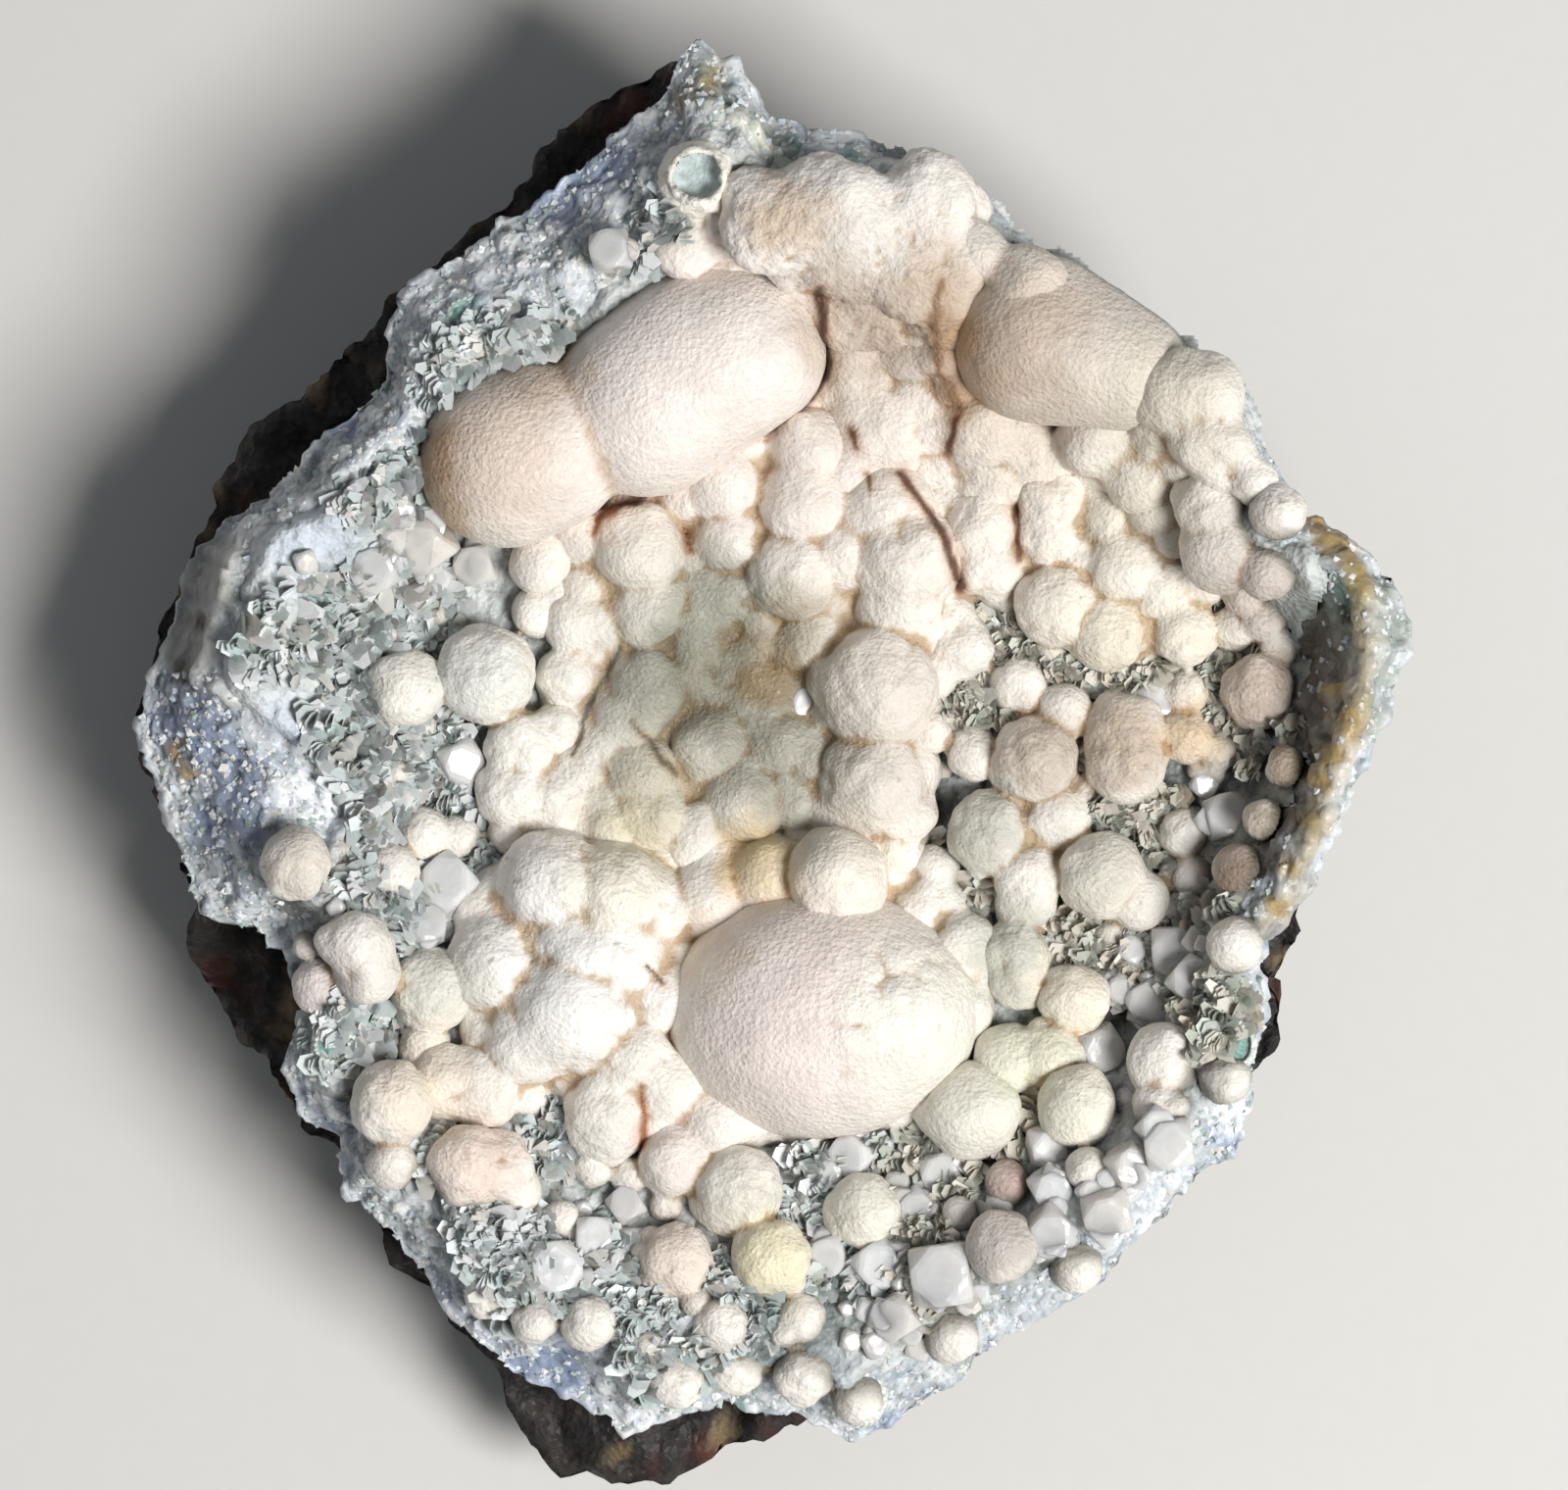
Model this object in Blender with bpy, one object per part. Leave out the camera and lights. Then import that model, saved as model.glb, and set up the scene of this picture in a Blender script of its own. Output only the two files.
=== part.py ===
# A chalcedony-lined vug in basalt, lying on its back with the hollow facing up.
# Three pieces: the basalt it broke out with, the bowl-shaped chalcedony lining with its
# broken rim, and the crust of round globules and flat-faced crystals that fills the bowl.
# Lists and sizes are in millimetres, in the specimen's own frame: the origin is the middle
# of the footprint, on the face it rests on, and +Z is up out of the bowl.

import math
import random

import bmesh
import bpy
import numpy as np
from mathutils import Matrix, Vector

MM = 0.001
SEED = 23

# Driving sizes
FLOOR_HEIGHT = 26.0      # bowl's floor over the resting face
FLOOR_DISH = 3.0         # how much the floor rises from its middle to the foot of the wall
FLOOR_THICKNESS = 3.0    # lining under the floor
CONTACT_GAP = 0.35       # clearance kept between pieces that touch
CRUST_SKIN = 1.7         # white druse between the globules, over the lining
CRUST_ROOT = 2.0         # how far the druse is carried down before it is cut to its bed
CRUST_SINK = 0.22        # part of a globule's radius that its middle stands above the druse
CRUST_VOXEL = 0.85       # finest form kept in the crust
CRUST_KEEP = 0.032       # share of the crust's faces kept
CUP_RAISE = 0.5          # broken hollow ball's middle over the druse
CRYSTAL_RAISE = 0.6      # crystals' middles over the druse
CRYSTAL_LEAN = 16.0      # most that a crystal leans off upright, in degrees
ROCK_JITTER = 1.1        # roughness of the broken basalt
ROCK_HOLD = 0.9          # least reach of the rock near its top, between base and outline
RIM_JITTER = 0.55        # roughness of the broken rim
SIDE_DENT = 0.9          # how far the lining's broken side falls back from its edge
SHOULDER_DROP = 0.8      # rock's top edge under the lining's broken edge
SHOULDER_SLOPE = 0.9     # fall of the rock's top where it shows past the lining
BASE_SHARE = 0.74        # resting face, as a share of the rock's reach
BED_DEPTH = -20.0        # bottom of the body that cuts the crust's bed
BED_SPREAD = 1.5         # reach of that body, as a share of the rim's

# The lining's broken edge seen from above, counter-clockwise from the right-hand point
LINING_EDGE = [
    (65.4, 13.9), (64.3, 17.4), (61.8, 20.4), (58.3, 23.4), (55.0, 24.9), (53.4, 27.4),
    (51.7, 30.7), (50.0, 33.9), (48.2, 37.9), (45.2, 41.2), (40.6, 43.9), (37.6, 45.7),
    (32.1, 48.4), (30.0, 51.2), (25.3, 53.9), (21.3, 58.7), (16.3, 62.1), (11.8, 63.1),
    (4.8, 64.9), (0.3, 66.1), (-2.0, 69.9), (-3.0, 71.9), (-4.7, 71.7), (-7.0, 74.1),
    (-9.0, 71.7), (-10.2, 68.4), (-14.2, 65.4), (-18.2, 61.4), (-23.2, 57.2), (-28.2, 53.4),
    (-33.2, 50.7), (-37.2, 47.9), (-38.2, 43.4), (-39.7, 38.4), (-43.2, 35.4), (-47.2, 31.4),
    (-51.2, 27.9), (-55.7, 24.9), (-58.7, 21.9), (-60.0, 17.9), (-62.0, 11.9), (-63.7, 6.9),
    (-64.7, 3.7), (-62.7, -0.6), (-61.7, -5.1), (-59.7, -10.1), (-58.2, -15.6), (-52.7, -17.1),
    (-49.2, -19.6), (-47.9, -23.1), (-48.2, -27.1), (-49.5, -31.1), (-47.7, -35.9),
    (-44.4, -39.1), (-43.0, -44.1), (-38.2, -48.6), (-34.2, -53.9), (-30.2, -59.1),
    (-26.2, -63.3), (-22.2, -63.6), (-18.2, -66.1), (-14.7, -68.8), (-8.2, -66.6),
    (-3.7, -65.6), (1.8, -66.8), (5.8, -68.6), (8.8, -69.9), (11.8, -68.6), (18.3, -64.1),
    (22.8, -60.1), (27.8, -56.6), (33.8, -53.1), (38.8, -48.1), (43.8, -43.1), (48.3, -39.1),
    (49.6, -33.1), (50.8, -28.1), (50.3, -22.1), (50.8, -18.1), (53.3, -15.1), (55.3, -11.6),
    (57.0, -8.1), (60.3, -1.1), (63.0, 5.9), (64.8, 10.9),
]

# The basalt's outline, counter-clockwise: past the lining on the left and at the foot,
# broken back under it on the right
BASALT_EDGE = [
    (61.8, 12.9), (60.3, 18.9), (54.3, 22.9), (49.5, 28.0), (46.0, 35.5), (40.5, 41.0),
    (32.0, 46.5), (26.0, 51.0), (19.5, 57.0), (11.3, 61.0), (1.8, 64.0), (-3.0, 68.5),
    (-7.0, 71.0), (-9.2, 71.9), (-12.2, 70.7), (-15.7, 69.9), (-18.2, 67.7), (-20.7, 65.2),
    (-22.7, 63.4), (-24.2, 60.9), (-26.7, 58.1), (-28.7, 55.7), (-31.7, 53.9), (-33.6, 51.8),
    (-36.2, 49.8), (-38.4, 47.6), (-39.7, 44.8), (-41.7, 43.4), (-44.7, 41.9), (-46.0, 38.7),
    (-48.2, 37.6), (-51.2, 34.9), (-54.2, 32.4), (-55.9, 29.9), (-57.9, 25.9), (-59.5, 22.4),
    (-60.9, 17.9), (-62.6, 15.4), (-64.0, 12.4), (-65.0, 7.9), (-65.5, 3.9), (-64.7, 1.0),
    (-63.2, -1.2), (-62.2, -5.4), (-60.4, -10.1), (-59.4, -14.6), (-59.4, -19.1),
    (-57.9, -22.6), (-54.7, -27.1), (-51.9, -30.1), (-51.0, -33.3), (-49.4, -36.1),
    (-47.2, -38.6), (-44.9, -39.5), (-42.5, -42.5), (-39.9, -47.9), (-37.2, -52.6),
    (-33.2, -56.6), (-31.4, -59.6), (-29.2, -62.3), (-27.2, -65.1), (-25.2, -68.3),
    (-22.7, -70.9), (-21.7, -73.9), (-16.2, -74.1), (-8.2, -74.1), (-6.7, -72.4),
    (-4.4, -71.5), (-1.7, -69.9), (1.8, -67.7), (6.8, -66.5), (11.8, -65.5), (17.3, -62.1),
    (26.8, -54.6), (36.8, -46.6), (44.8, -39.6), (48.0, -32.1), (51.6, -30.3), (52.6, -28.1),
    (53.3, -24.1), (52.3, -22.3), (53.6, -19.9), (54.6, -17.1), (54.0, -12.1), (55.6, -7.1),
    (58.6, 0.9), (60.8, 7.4),
]

# The rim by direction: degrees, height at the broken edge, width up to the crest,
# height of the crest, distance from the edge to the foot of the inner wall, thickness of
# the lining down its broken side
RIM = [
    (0, 42, 2.2, 45, 13, 9.0), (10, 43, 4.0, 47, 13, 10.0), (18, 41, 3.6, 46, 15, 8.5),
    (30, 39, 3.0, 42, 16, 7.0), (45, 38, 3.0, 41, 20, 8.5), (60, 38, 3.0, 41, 24, 7.0),
    (80, 38, 5.0, 42, 28, 9.5), (95, 37, 8.0, 41, 30, 11.0), (105, 36, 8.0, 40, 26, 8.0),
    (120, 35, 6.0, 39, 22, 7.0), (135, 34, 4.0, 38, 14, 6.0), (150, 32, 5.0, 38, 22, 7.5),
    (160, 29, 6.5, 37, 28, 6.0), (170, 28, 8.0, 37, 30, 7.5), (180, 28, 12, 36, 32, 8.0),
    (197, 32, 8.0, 36, 24, 9.5), (215, 29, 4.0, 33, 14, 7.0), (232, 28, 6.0, 34, 16, 6.0),
    (250, 27, 8.0, 33, 20, 7.5), (265, 28, 6.0, 33, 20, 6.5), (280, 27, 8.0, 33, 22, 8.0),
    (300, 32, 5.0, 36, 20, 9.5), (315, 34, 5.0, 38, 18, 8.0), (325, 36, 5.0, 38.5, 14, 9.0),
    (340, 38, 2.5, 39.5, 9, 7.5), (350, 41, 2.0, 44, 12, 10.0),
]

# Flat breaks in the basalt's sides: the way each faces in degrees, how far it overhangs
# outwards going up in degrees, and how deep it cuts in under the outline
ROCK_BREAKS = [
    (8, 18, 4.0), (38, 30, 6.5), (66, 12, 4.5), (88, 34, 8.0), (118, 20, 5.0), (143, 38, 9.0),
    (168, 14, 4.0), (190, 28, 6.5), (214, 10, 3.5), (237, 32, 7.5), (262, 16, 5.0),
    (285, 30, 7.0), (309, 12, 5.5), (336, 36, 7.5),
]

# How far inside the lining's edge the crust stops, by direction
CRUST_INSET = [
    (0, 7), (12, 10), (22, 5), (32, 0.4), (45, 0.0), (60, 0.0), (72, 0.8), (85, 3), (95, 8),
    (102, 10), (112, 11), (120, 9), (130, 5), (140, 7), (150, 5), (157, 4), (165, 6),
    (171, 6), (174, 10), (178, 15), (186, 18), (197, 7), (207, 2), (215, 3), (230, 5),
    (240, 4), (255, 3), (268, 4),
    (280, 6), (292, 5), (303, 4), (318, 5), (330, 3), (342, 3), (350, 5),
]

# Globules: middle, radius and how far they are lifted over where the druse would hold them.
# The long two-lobed one at the upper left
PEANUT = [
    (-26.4, 31.3, 9.2, 2.6), (-19.2, 33.9, 8.7, 3.2), (-12.4, 37.1, 9.9, 2.4),
    (-7.7, 40.5, 10.2, 1.8), (-2.5, 42.3, 8.8, 2.8),
]

# Wide low cushions: middle, half widths along X and Y, height of the top over the resting
# face, half height. The one under the middle and its right lobe, the white mass at the
# lower left, the mass at the upper right
DOMES = [
    (5.3, -25.6, 15.2, 12.6, 42.5, 13.0), (13.8, -25.9, 9.2, 8.6, 41.0, 11.0),
    (-22.2, -14.1, 6.8, 6.4, 38.5, 8.0), (-16.4, -16.1, 6.4, 6.2, 38.8, 8.0),
    (-19.2, -25.1, 8.0, 7.4, 39.5, 9.0), (-17.8, -19.8, 9.6, 9.8, 38.6, 9.0),
    (26.3, 43.0, 8.3, 8.7, 46.5, 9.5), (31.4, 41.4, 8.0, 6.6, 46.2, 8.5),
]

GLOBULES = [
    # upper edge
    (0.8, 54.4, 5.0, 1.0), (-4.7, 53.9, 2.2, 0), (-8.2, 51.9, 3.0, 0), (7.8, 55.6, 4.4, 0.6),
    (8.2, 51.6, 4.4, 0.6), (15.6, 49.6, 4.5, 1.0), (14.3, 45.9, 3.0, 0), (18.5, 45.2, 3.2, 0.5),
    (16.3, 57.0, 4.2, 0), (8.3, 45.9, 3.8, 0), (9.8, 39.9, 3.8, 0), (14.8, 42.4, 3.2, 0),
    (11.8, 34.9, 5.6, 0.6), (17.3, 35.9, 3.0, 1.0), (18.3, 30.9, 3.0, 1.0),
    (22.2, 34.4, 4.5, 0.5), (23.2, 29.7, 3.8, 1.4), (27.0, 31.2, 4.0, 0.6),
    # upper right, out to the rim
    (26.6, 48.4, 4.3, -0.6), (35.2, 41.6, 5.3, 0.6), (40.4, 38.4, 4.6, 0.8),
    (44.6, 37.2, 4.0, 0.2), (44.0, 33.0, 3.5, 0.8), (33.8, 33.2, 3.9, 1.6),
    (39.8, 33.9, 2.8, 0.6), (48.0, 30.9, 2.1, 0), (49.5, 28.6, 2.5, 0), (51.7, 25.4, 2.9, 0),
    (29.3, 27.0, 3.6, 1.8), (29.0, 23.6, 3.5, 1.4), (29.8, 16.2, 4.3, 1.6),
    (35.3, 24.9, 3.5, 1.2), (38.3, 29.6, 4.1, 1.2), (39.8, 25.9, 3.0, 1.4),
    (36.8, 20.4, 4.4, 1.2), (40.3, 17.7, 3.6, 1.0), (35.0, 13.4, 4.1, 1.4),
    (42.6, 13.6, 3.6, 1.0), (45.3, 25.9, 3.7, 0.4), (46.3, 21.7, 4.3, 0.6),
    (44.3, 18.9, 3.0, 0.2), (50.8, 19.6, 3.0, 1.2), (49.0, 17.2, 2.2, 0.4),
    (50.8, 14.9, 2.4, 0.8), (48.0, 13.9, 2.5, 0.6), (52.3, 11.9, 2.4, 0.4),
    (50.3, 7.4, 3.8, 1.6), (22.1, 24.2, 4.0, 1.4), (22.4, 20.6, 3.6, 1.0),
    # upper middle
    (12.3, 25.9, 4.8, 2.4), (14.3, 20.9, 5.7, 2.4), (13.8, 16.4, 4.5, 1.8),
    (4.3, 32.2, 4.3, 2.4), (3.8, 26.9, 4.9, 2.6), (2.8, 19.6, 5.0, 2.2), (8.4, 29.6, 3.8, 1.6),
    (8.2, 21.6, 4.4, 1.8), (-4.2, 28.4, 4.0, 2.4), (-3.7, 23.2, 3.8, 1.8),
    (-8.2, 27.2, 3.0, 1.4), (-13.2, 21.9, 4.8, 2.0), (-12.2, 15.9, 4.1, 1.4),
    (-18.4, 17.9, 2.9, 0.8), (-18.7, 23.2, 3.2, 1.4), (-23.7, 15.4, 2.7, 0.4),
    (-23.4, 20.1, 2.8, 1.6),
    # the pit in the middle and round it
    (-5.2, 16.9, 4.2, 0), (-7.7, 12.4, 3.6, 0), (-12.2, 7.9, 4.3, 0.6), (-8.0, 9.0, 3.3, 0),
    (-1.2, 12.6, 3.0, -0.4), (5.3, 12.9, 4.0, 0.6), (-0.2, 7.4, 2.5, -1.2),
    (-3.2, 8.9, 2.3, -1.0), (-5.7, 1.9, 4.0, 0.4), (1.3, 1.6, 3.8, 0), (4.9, 0.1, 3.4, 0),
    (-2.2, -4.1, 4.3, 0.4), (3.3, -4.1, 3.2, 0.2), (11.3, 7.9, 6.4, 2.0),
    (10.8, -2.1, 5.3, 1.6), (13.8, -5.1, 3.6, 1.0), (7.8, -4.6, 3.4, 0.8),
    (-17.2, 1.4, 3.1, 0.6), (-14.2, 4.1, 3.5, 0.8), (-12.7, -1.1, 3.8, 1.0),
    (-15.7, -3.6, 2.8, 0.6), (-11.7, -5.3, 3.8, 0.8), (-7.7, -8.1, 3.2, 0.4),
    # left
    (-37.0, 7.6, 4.0, 1.6), (-28.7, 9.1, 5.1, 2.0), (-20.7, 8.9, 3.0, 0.8),
    (-18.2, 12.7, 2.9, 0), (-25.2, 1.6, 3.7, 1.2), (-21.7, 3.4, 2.8, 1.0),
    (-26.2, -3.1, 3.6, 1.0), (-21.7, -3.4, 3.4, 0.8), (-18.2, -5.3, 2.4, 0.2),
    (-48.0, -10.1, 3.6, 0.6), (-35.2, -7.1, 2.9, 0.4), (-31.7, -7.4, 2.4, 0.2),
    (-38.5, -11.1, 3.0, 0.6), (-41.8, -18.4, 3.6, 1.2), (-40.6, -21.4, 3.4, 1.0),
    (-45.5, -22.9, 3.0, 0.8), (-34.2, -23.1, 4.4, 1.4), (-26.5, -7.4, 2.2, 0.6),
    # lower left
    (-28.0, -20.4, 4.8, 2.4), (-12.2, -14.9, 4.3, 1.8), (-24.4, -28.1, 4.6, 2.4),
    (-14.0, -30.1, 4.2, 2.0), (-11.0, -23.8, 3.8, 1.6), (-10.2, -33.3, 4.1, 1.2),
    (-5.4, -36.9, 3.8, 1.0), (-38.2, -34.6, 4.3, 1.4), (-33.0, -32.6, 4.0, 1.4),
    (-29.2, -33.4, 4.2, 1.2), (-35.0, -29.2, 2.9, 0.6), (-30.6, -41.0, 4.1, 1.2),
    (-27.6, -41.2, 3.8, 1.0), (-25.6, -43.6, 2.6, 0.4), (-24.4, -34.1, 2.1, 0.8),
    (-38.2, -41.1, 2.7, 0.2),
    # foot
    (-16.6, -35.4, 4.0, 1.6), (-16.6, -37.2, 3.8, 1.4), (-17.8, -41.2, 2.2, 0.4),
    (-9.4, -40.6, 3.8, 1.4), (-14.0, -42.1, 2.1, 0.2), (-2.9, -43.8, 4.7, 1.0),
    (0.4, -50.6, 4.1, 1.4), (9.9, -45.6, 4.0, 1.4), (-9.2, -51.1, 3.9, 0.6),
    (-11.7, -49.9, 2.6, 0.4), (12.8, -35.6, 2.4, 0), (-20.9, -46.7, 2.2, 0.2),
    (-18.0, -56.9, 2.9, 0.4), (-23.7, -56.9, 2.3, 0.2), (-9.6, -62.6, 3.2, -0.4),
    (-4.5, -57.5, 3.0, -0.4), (-3.0, -61.4, 3.2, -0.6), (3.8, -62.4, 3.2, -0.6),
    (9.4, -64.8, 2.8, -0.8), (3.4, -56.8, 2.8, -0.8), (18.9, -58.5, 3.0, -0.2),
    (-28.4, -54.2, 2.6, -0.2), (31.5, -51.2, 2.8, -0.4), (39.8, -34.8, 2.6, 0),
    (46.6, -32.0, 2.6, -0.2),
    # between the dome and the right wall
    (7.2, -12.0, 5.3, 4.4), (0.6, -11.8, 4.2, 1.6), (-5.9, -14.1, 4.2, 0.8),
    (20.3, -25.1, 3.2, 0.8), (20.5, -18.6, 3.5, 0.8), (16.8, -13.6, 2.8, 0.4),
    (17.3, -10.6, 2.5, 0.4), (15.8, -17.9, 2.2, 0.4), (27.4, 0.4, 4.5, 1.4),
    (30.5, 5.2, 3.0, 0.8), (22.8, -7.1, 4.3, 1.2), (26.8, -11.6, 3.6, 0.8),
    (26.6, -14.6, 3.2, 0.6), (29.8, -5.6, 3.6, 0.4), (36.6, 3.2, 4.1, 1.0),
    (36.8, 0.2, 4.2, 1.0), (43.0, 2.9, 2.9, 0.6), (43.3, 7.2, 2.4, 0.4), (46.3, 1.4, 2.2, 0),
    (34.3, -11.4, 4.5, 1.6), (38.1, -13.9, 3.2, 1.2), (25.6, -19.6, 3.5, 1.0),
    (25.8, -22.0, 3.3, 0.8), (31.6, -24.1, 3.6, 1.4), (28.8, -30.0, 3.7, 1.2),
    (24.8, -30.2, 3.6, 1.2), (20.8, -35.6, 5.2, 1.6), (31.8, -35.1, 4.2, 1.4),
    (20.1, 11.7, 3.4, 0.2), (21.3, 0.9, 2.9, 0.6), (25.8, 7.9, 3.1, 0.4),
    (43.8, -11.6, 2.4, 0.2), (48.2, -10.9, 2.9, 0.2), (50.7, -5.6, 2.3, 0),
    (53.0, -0.4, 2.3, 0), (47.6, -18.3, 3.0, 0.6), (42.8, -7.1, 2.7, 0),
    (40.6, -30.4, 4.0, 0.6), (24.0, -49.1, 3.8, 1.0), (24.5, -42.8, 2.4, 0.2),
    (19.8, -46.1, 2.1, 0.2), (32.8, -41.4, 2.4, 0),
]

# The broken hollow ball near the top: middle, outer radius, radius and depth of its cup
BROKEN_CUP = (-7.0, 59.4, 4.0, 2.9, 2.2)

# Flat-faced crystals: middle, half width, turn about Z in degrees
CRYSTALS = [
    (-15.7, 52.1, 2.3, 10), (40.0, 6.7, 2.2, 40), (46.9, -5.4, 2.5, 15), (41.9, -19.1, 2.7, 5),
    (43.6, -22.2, 2.4, 50), (39.2, -24.3, 2.4, 30), (34.1, -29.1, 2.5, 22),
    (-21.8, -51.4, 3.0, 12), (-14.4, -45.2, 1.9, 35), (-17.6, -48.4, 2.1, 0),
    (6.4, -50.2, 2.3, 18), (11.6, -51.1, 2.6, 42), (17.8, -52.3, 3.5, 8), (13.3, -56.5, 2.4, 30),
    (17.9, -41.6, 2.2, 25), (15.6, -45.6, 2.2, 50), (28.6, -39.1, 2.1, 5), (29.0, -43.2, 2.3, 28),
    (28.8, -47.4, 2.5, 46), (34.6, -45.6, 2.6, 14), (36.6, -40.8, 2.2, 33), (40.8, -38.6, 2.8, 8),
    (8.8, -40.2, 2.3, 52), (-35.2, 22.4, 3.2, 38), (-29.9, 20.3, 2.3, 12), (-39.9, 19.9, 2.6, 25),
    (-31.5, 0.2, 2.6, 20), (-32.7, -12.1, 2.9, 44), (-34.9, -16.6, 2.2, 6), (3.8, 6.1, 2.0, 30),
]


def smooth_step(value):
    t = np.clip(value, 0.0, 1.0)
    return t * t * (3.0 - 2.0 * t)


def edge_reach(outline, direction):
    # Distance from the middle out to a star-shaped outline
    points = np.array(outline)
    angles = np.arctan2(points[:, 1], points[:, 0])
    return np.interp(direction, angles, np.hypot(points[:, 0], points[:, 1]), period=math.tau)


def by_direction(rows, column, direction):
    table = np.array(rows, dtype=float)
    return np.interp(direction, np.radians(table[:, 0]), table[:, column], period=math.tau)


def lining_top(x, y):
    # Height of the lining's upper face: edge, up to the crest, down the wall, dished floor
    radius = np.hypot(x, y)
    direction = np.arctan2(y, x)
    inside = edge_reach(LINING_EDGE, direction) - radius
    edge = by_direction(RIM, 1, direction)
    crest_width = by_direction(RIM, 2, direction)
    crest = by_direction(RIM, 3, direction)
    foot = by_direction(RIM, 4, direction)
    floor = FLOOR_HEIGHT + FLOOR_DISH * (radius / 50.0) ** 2
    rise = smooth_step(inside / crest_width)
    fall = smooth_step((inside - crest_width) / (foot - crest_width))
    return edge + (crest - edge) * rise + (floor - crest) * fall


def lining_underside(x, y):
    radius = np.hypot(x, y)
    direction = np.arctan2(y, x)
    reach = edge_reach(LINING_EDGE, direction)
    foot = by_direction(RIM, 4, direction)
    outer = by_direction(RIM, 1, direction) - by_direction(RIM, 5, direction)
    inner = FLOOR_HEIGHT - FLOOR_THICKNESS
    return inner + (outer - inner) * smooth_step((radius - reach + foot) / foot)


def stations():
    # One direction and reach for each point of the lining's edge
    points = np.array(LINING_EDGE)
    return np.arctan2(points[:, 1], points[:, 0]), np.hypot(points[:, 0], points[:, 1])


def ring(direction, radius, height):
    return np.column_stack([radius * np.cos(direction), radius * np.sin(direction), height])


def height_ring(direction, radius, surface, drop=0.0):
    x = radius * np.cos(direction)
    y = radius * np.sin(direction)
    return np.column_stack([x, y, surface(x, y) - drop])


def ring_body(rings, first_middle, last_middle):
    # A closed mesh from rings of equal count, closed by a fan at each end
    body = bmesh.new()
    rows = [[body.verts.new(Vector(point) * MM) for point in points] for points in rings]
    count = len(rows[0])
    for lower, upper in zip(rows, rows[1:]):
        for i in range(count):
            j = (i + 1) % count
            body.faces.new((lower[i], lower[j], upper[j], upper[i]))
    first = body.verts.new(Vector(first_middle) * MM)
    last = body.verts.new(Vector(last_middle) * MM)
    for i in range(count):
        j = (i + 1) % count
        body.faces.new((first, rows[0][j], rows[0][i]))
        body.faces.new((last, rows[-1][i], rows[-1][j]))
    bmesh.ops.recalc_face_normals(body, faces=body.faces)
    bmesh.ops.triangulate(body, faces=body.faces)
    return body


def add_object(name, body, material=None):
    mesh = bpy.data.meshes.new(name)
    body.to_mesh(mesh)
    body.free()
    obj = bpy.data.objects.new(name, mesh)
    bpy.context.scene.collection.objects.link(obj)
    if material is not None:
        mesh.materials.append(material)
    return obj


def hide_helper(obj):
    obj.hide_render = True
    obj.display_type = 'WIRE'


def make_material(name, color, roughness, metallic=0.0):
    material = bpy.data.materials.new(name)
    material.use_nodes = True
    shader = material.node_tree.nodes["Principled BSDF"]
    shader.inputs["Base Color"].default_value = (*color, 1.0)
    shader.inputs["Roughness"].default_value = roughness
    shader.inputs["Metallic"].default_value = metallic
    return material


def contact_rings(direction, reach, drop):
    # Rings on the face that the lining and the basalt share, from the middle outwards
    foot = by_direction(RIM, 4, direction)
    radii = [0.5 * (reach - foot), reach - foot, reach - 0.42 * foot]
    return [height_ring(direction, radius, lining_underside, drop) for radius in radii]


def lining_top_rings(direction, reach):
    # Rings on the lining's upper face from the broken edge inwards, roughened near the rim
    rng = random.Random(SEED)
    foot = by_direction(RIM, 4, direction)
    crest = by_direction(RIM, 2, direction)
    insets = [0.0 * crest, 0.55 * crest, crest, crest + 0.45 * (foot - crest), foot]
    rings = [height_ring(direction, reach - inset, lining_top) for inset in insets]
    rings.append(height_ring(direction, 0.5 * (reach - foot), lining_top))
    for points in rings[:3]:
        for point in points:
            point[2] += rng.uniform(-RIM_JITTER, RIM_JITTER)
    return rings


def side_rings(direction, reach):
    # The lining's broken side, from its lower edge up, dented a little under the rim
    rng = random.Random(SEED + 3)
    edge = by_direction(RIM, 1, direction)
    thickness = by_direction(RIM, 5, direction)
    lower = ring(direction, reach - 0.4 * SIDE_DENT, edge - thickness)
    middle = ring(direction, reach - SIDE_DENT, edge - 0.45 * thickness)
    for point in middle:
        scale = 1.0 + rng.uniform(-1.0, 0.7) * SIDE_DENT / math.hypot(point[0], point[1])
        point[0] *= scale
        point[1] *= scale
        point[2] += rng.uniform(-1.0, 1.0) * SIDE_DENT
    return [lower, middle]


def make_lining(material):
    direction, reach = stations()
    lower = contact_rings(direction, reach, 0.0)
    rings = lower + side_rings(direction, reach) + lining_top_rings(direction, reach)
    below = (0.0, 0.0, float(lining_underside(0.0, 0.0)))
    above = (0.0, 0.0, float(lining_top(0.0, 0.0)))
    return add_object("chalcedony_lining", ring_body(rings, below, above), material)


def rock_reach(direction, rock, height, share):
    # How far the rock reaches at one height, held in by the flat breaks in its sides
    reach = rock * (BASE_SHARE + (1.0 - BASE_SHARE) * np.sqrt(share))
    for facing, overhang, depth in ROCK_BREAKS:
        toward = np.cos(direction - math.radians(facing))
        plane = edge_reach(BASALT_EDGE, math.radians(facing)) - depth
        plane = plane + (height - 0.5 * FLOOR_HEIGHT) * math.tan(math.radians(overhang))
        faces_out = toward > 0.5
        limit = np.where(faces_out, plane / np.where(faces_out, toward, 1.0), np.inf)
        reach = np.minimum(reach, limit)
    least = rock * (BASE_SHARE + (1.0 - BASE_SHARE) * ROCK_HOLD * share)
    return np.maximum(reach, least)


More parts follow.
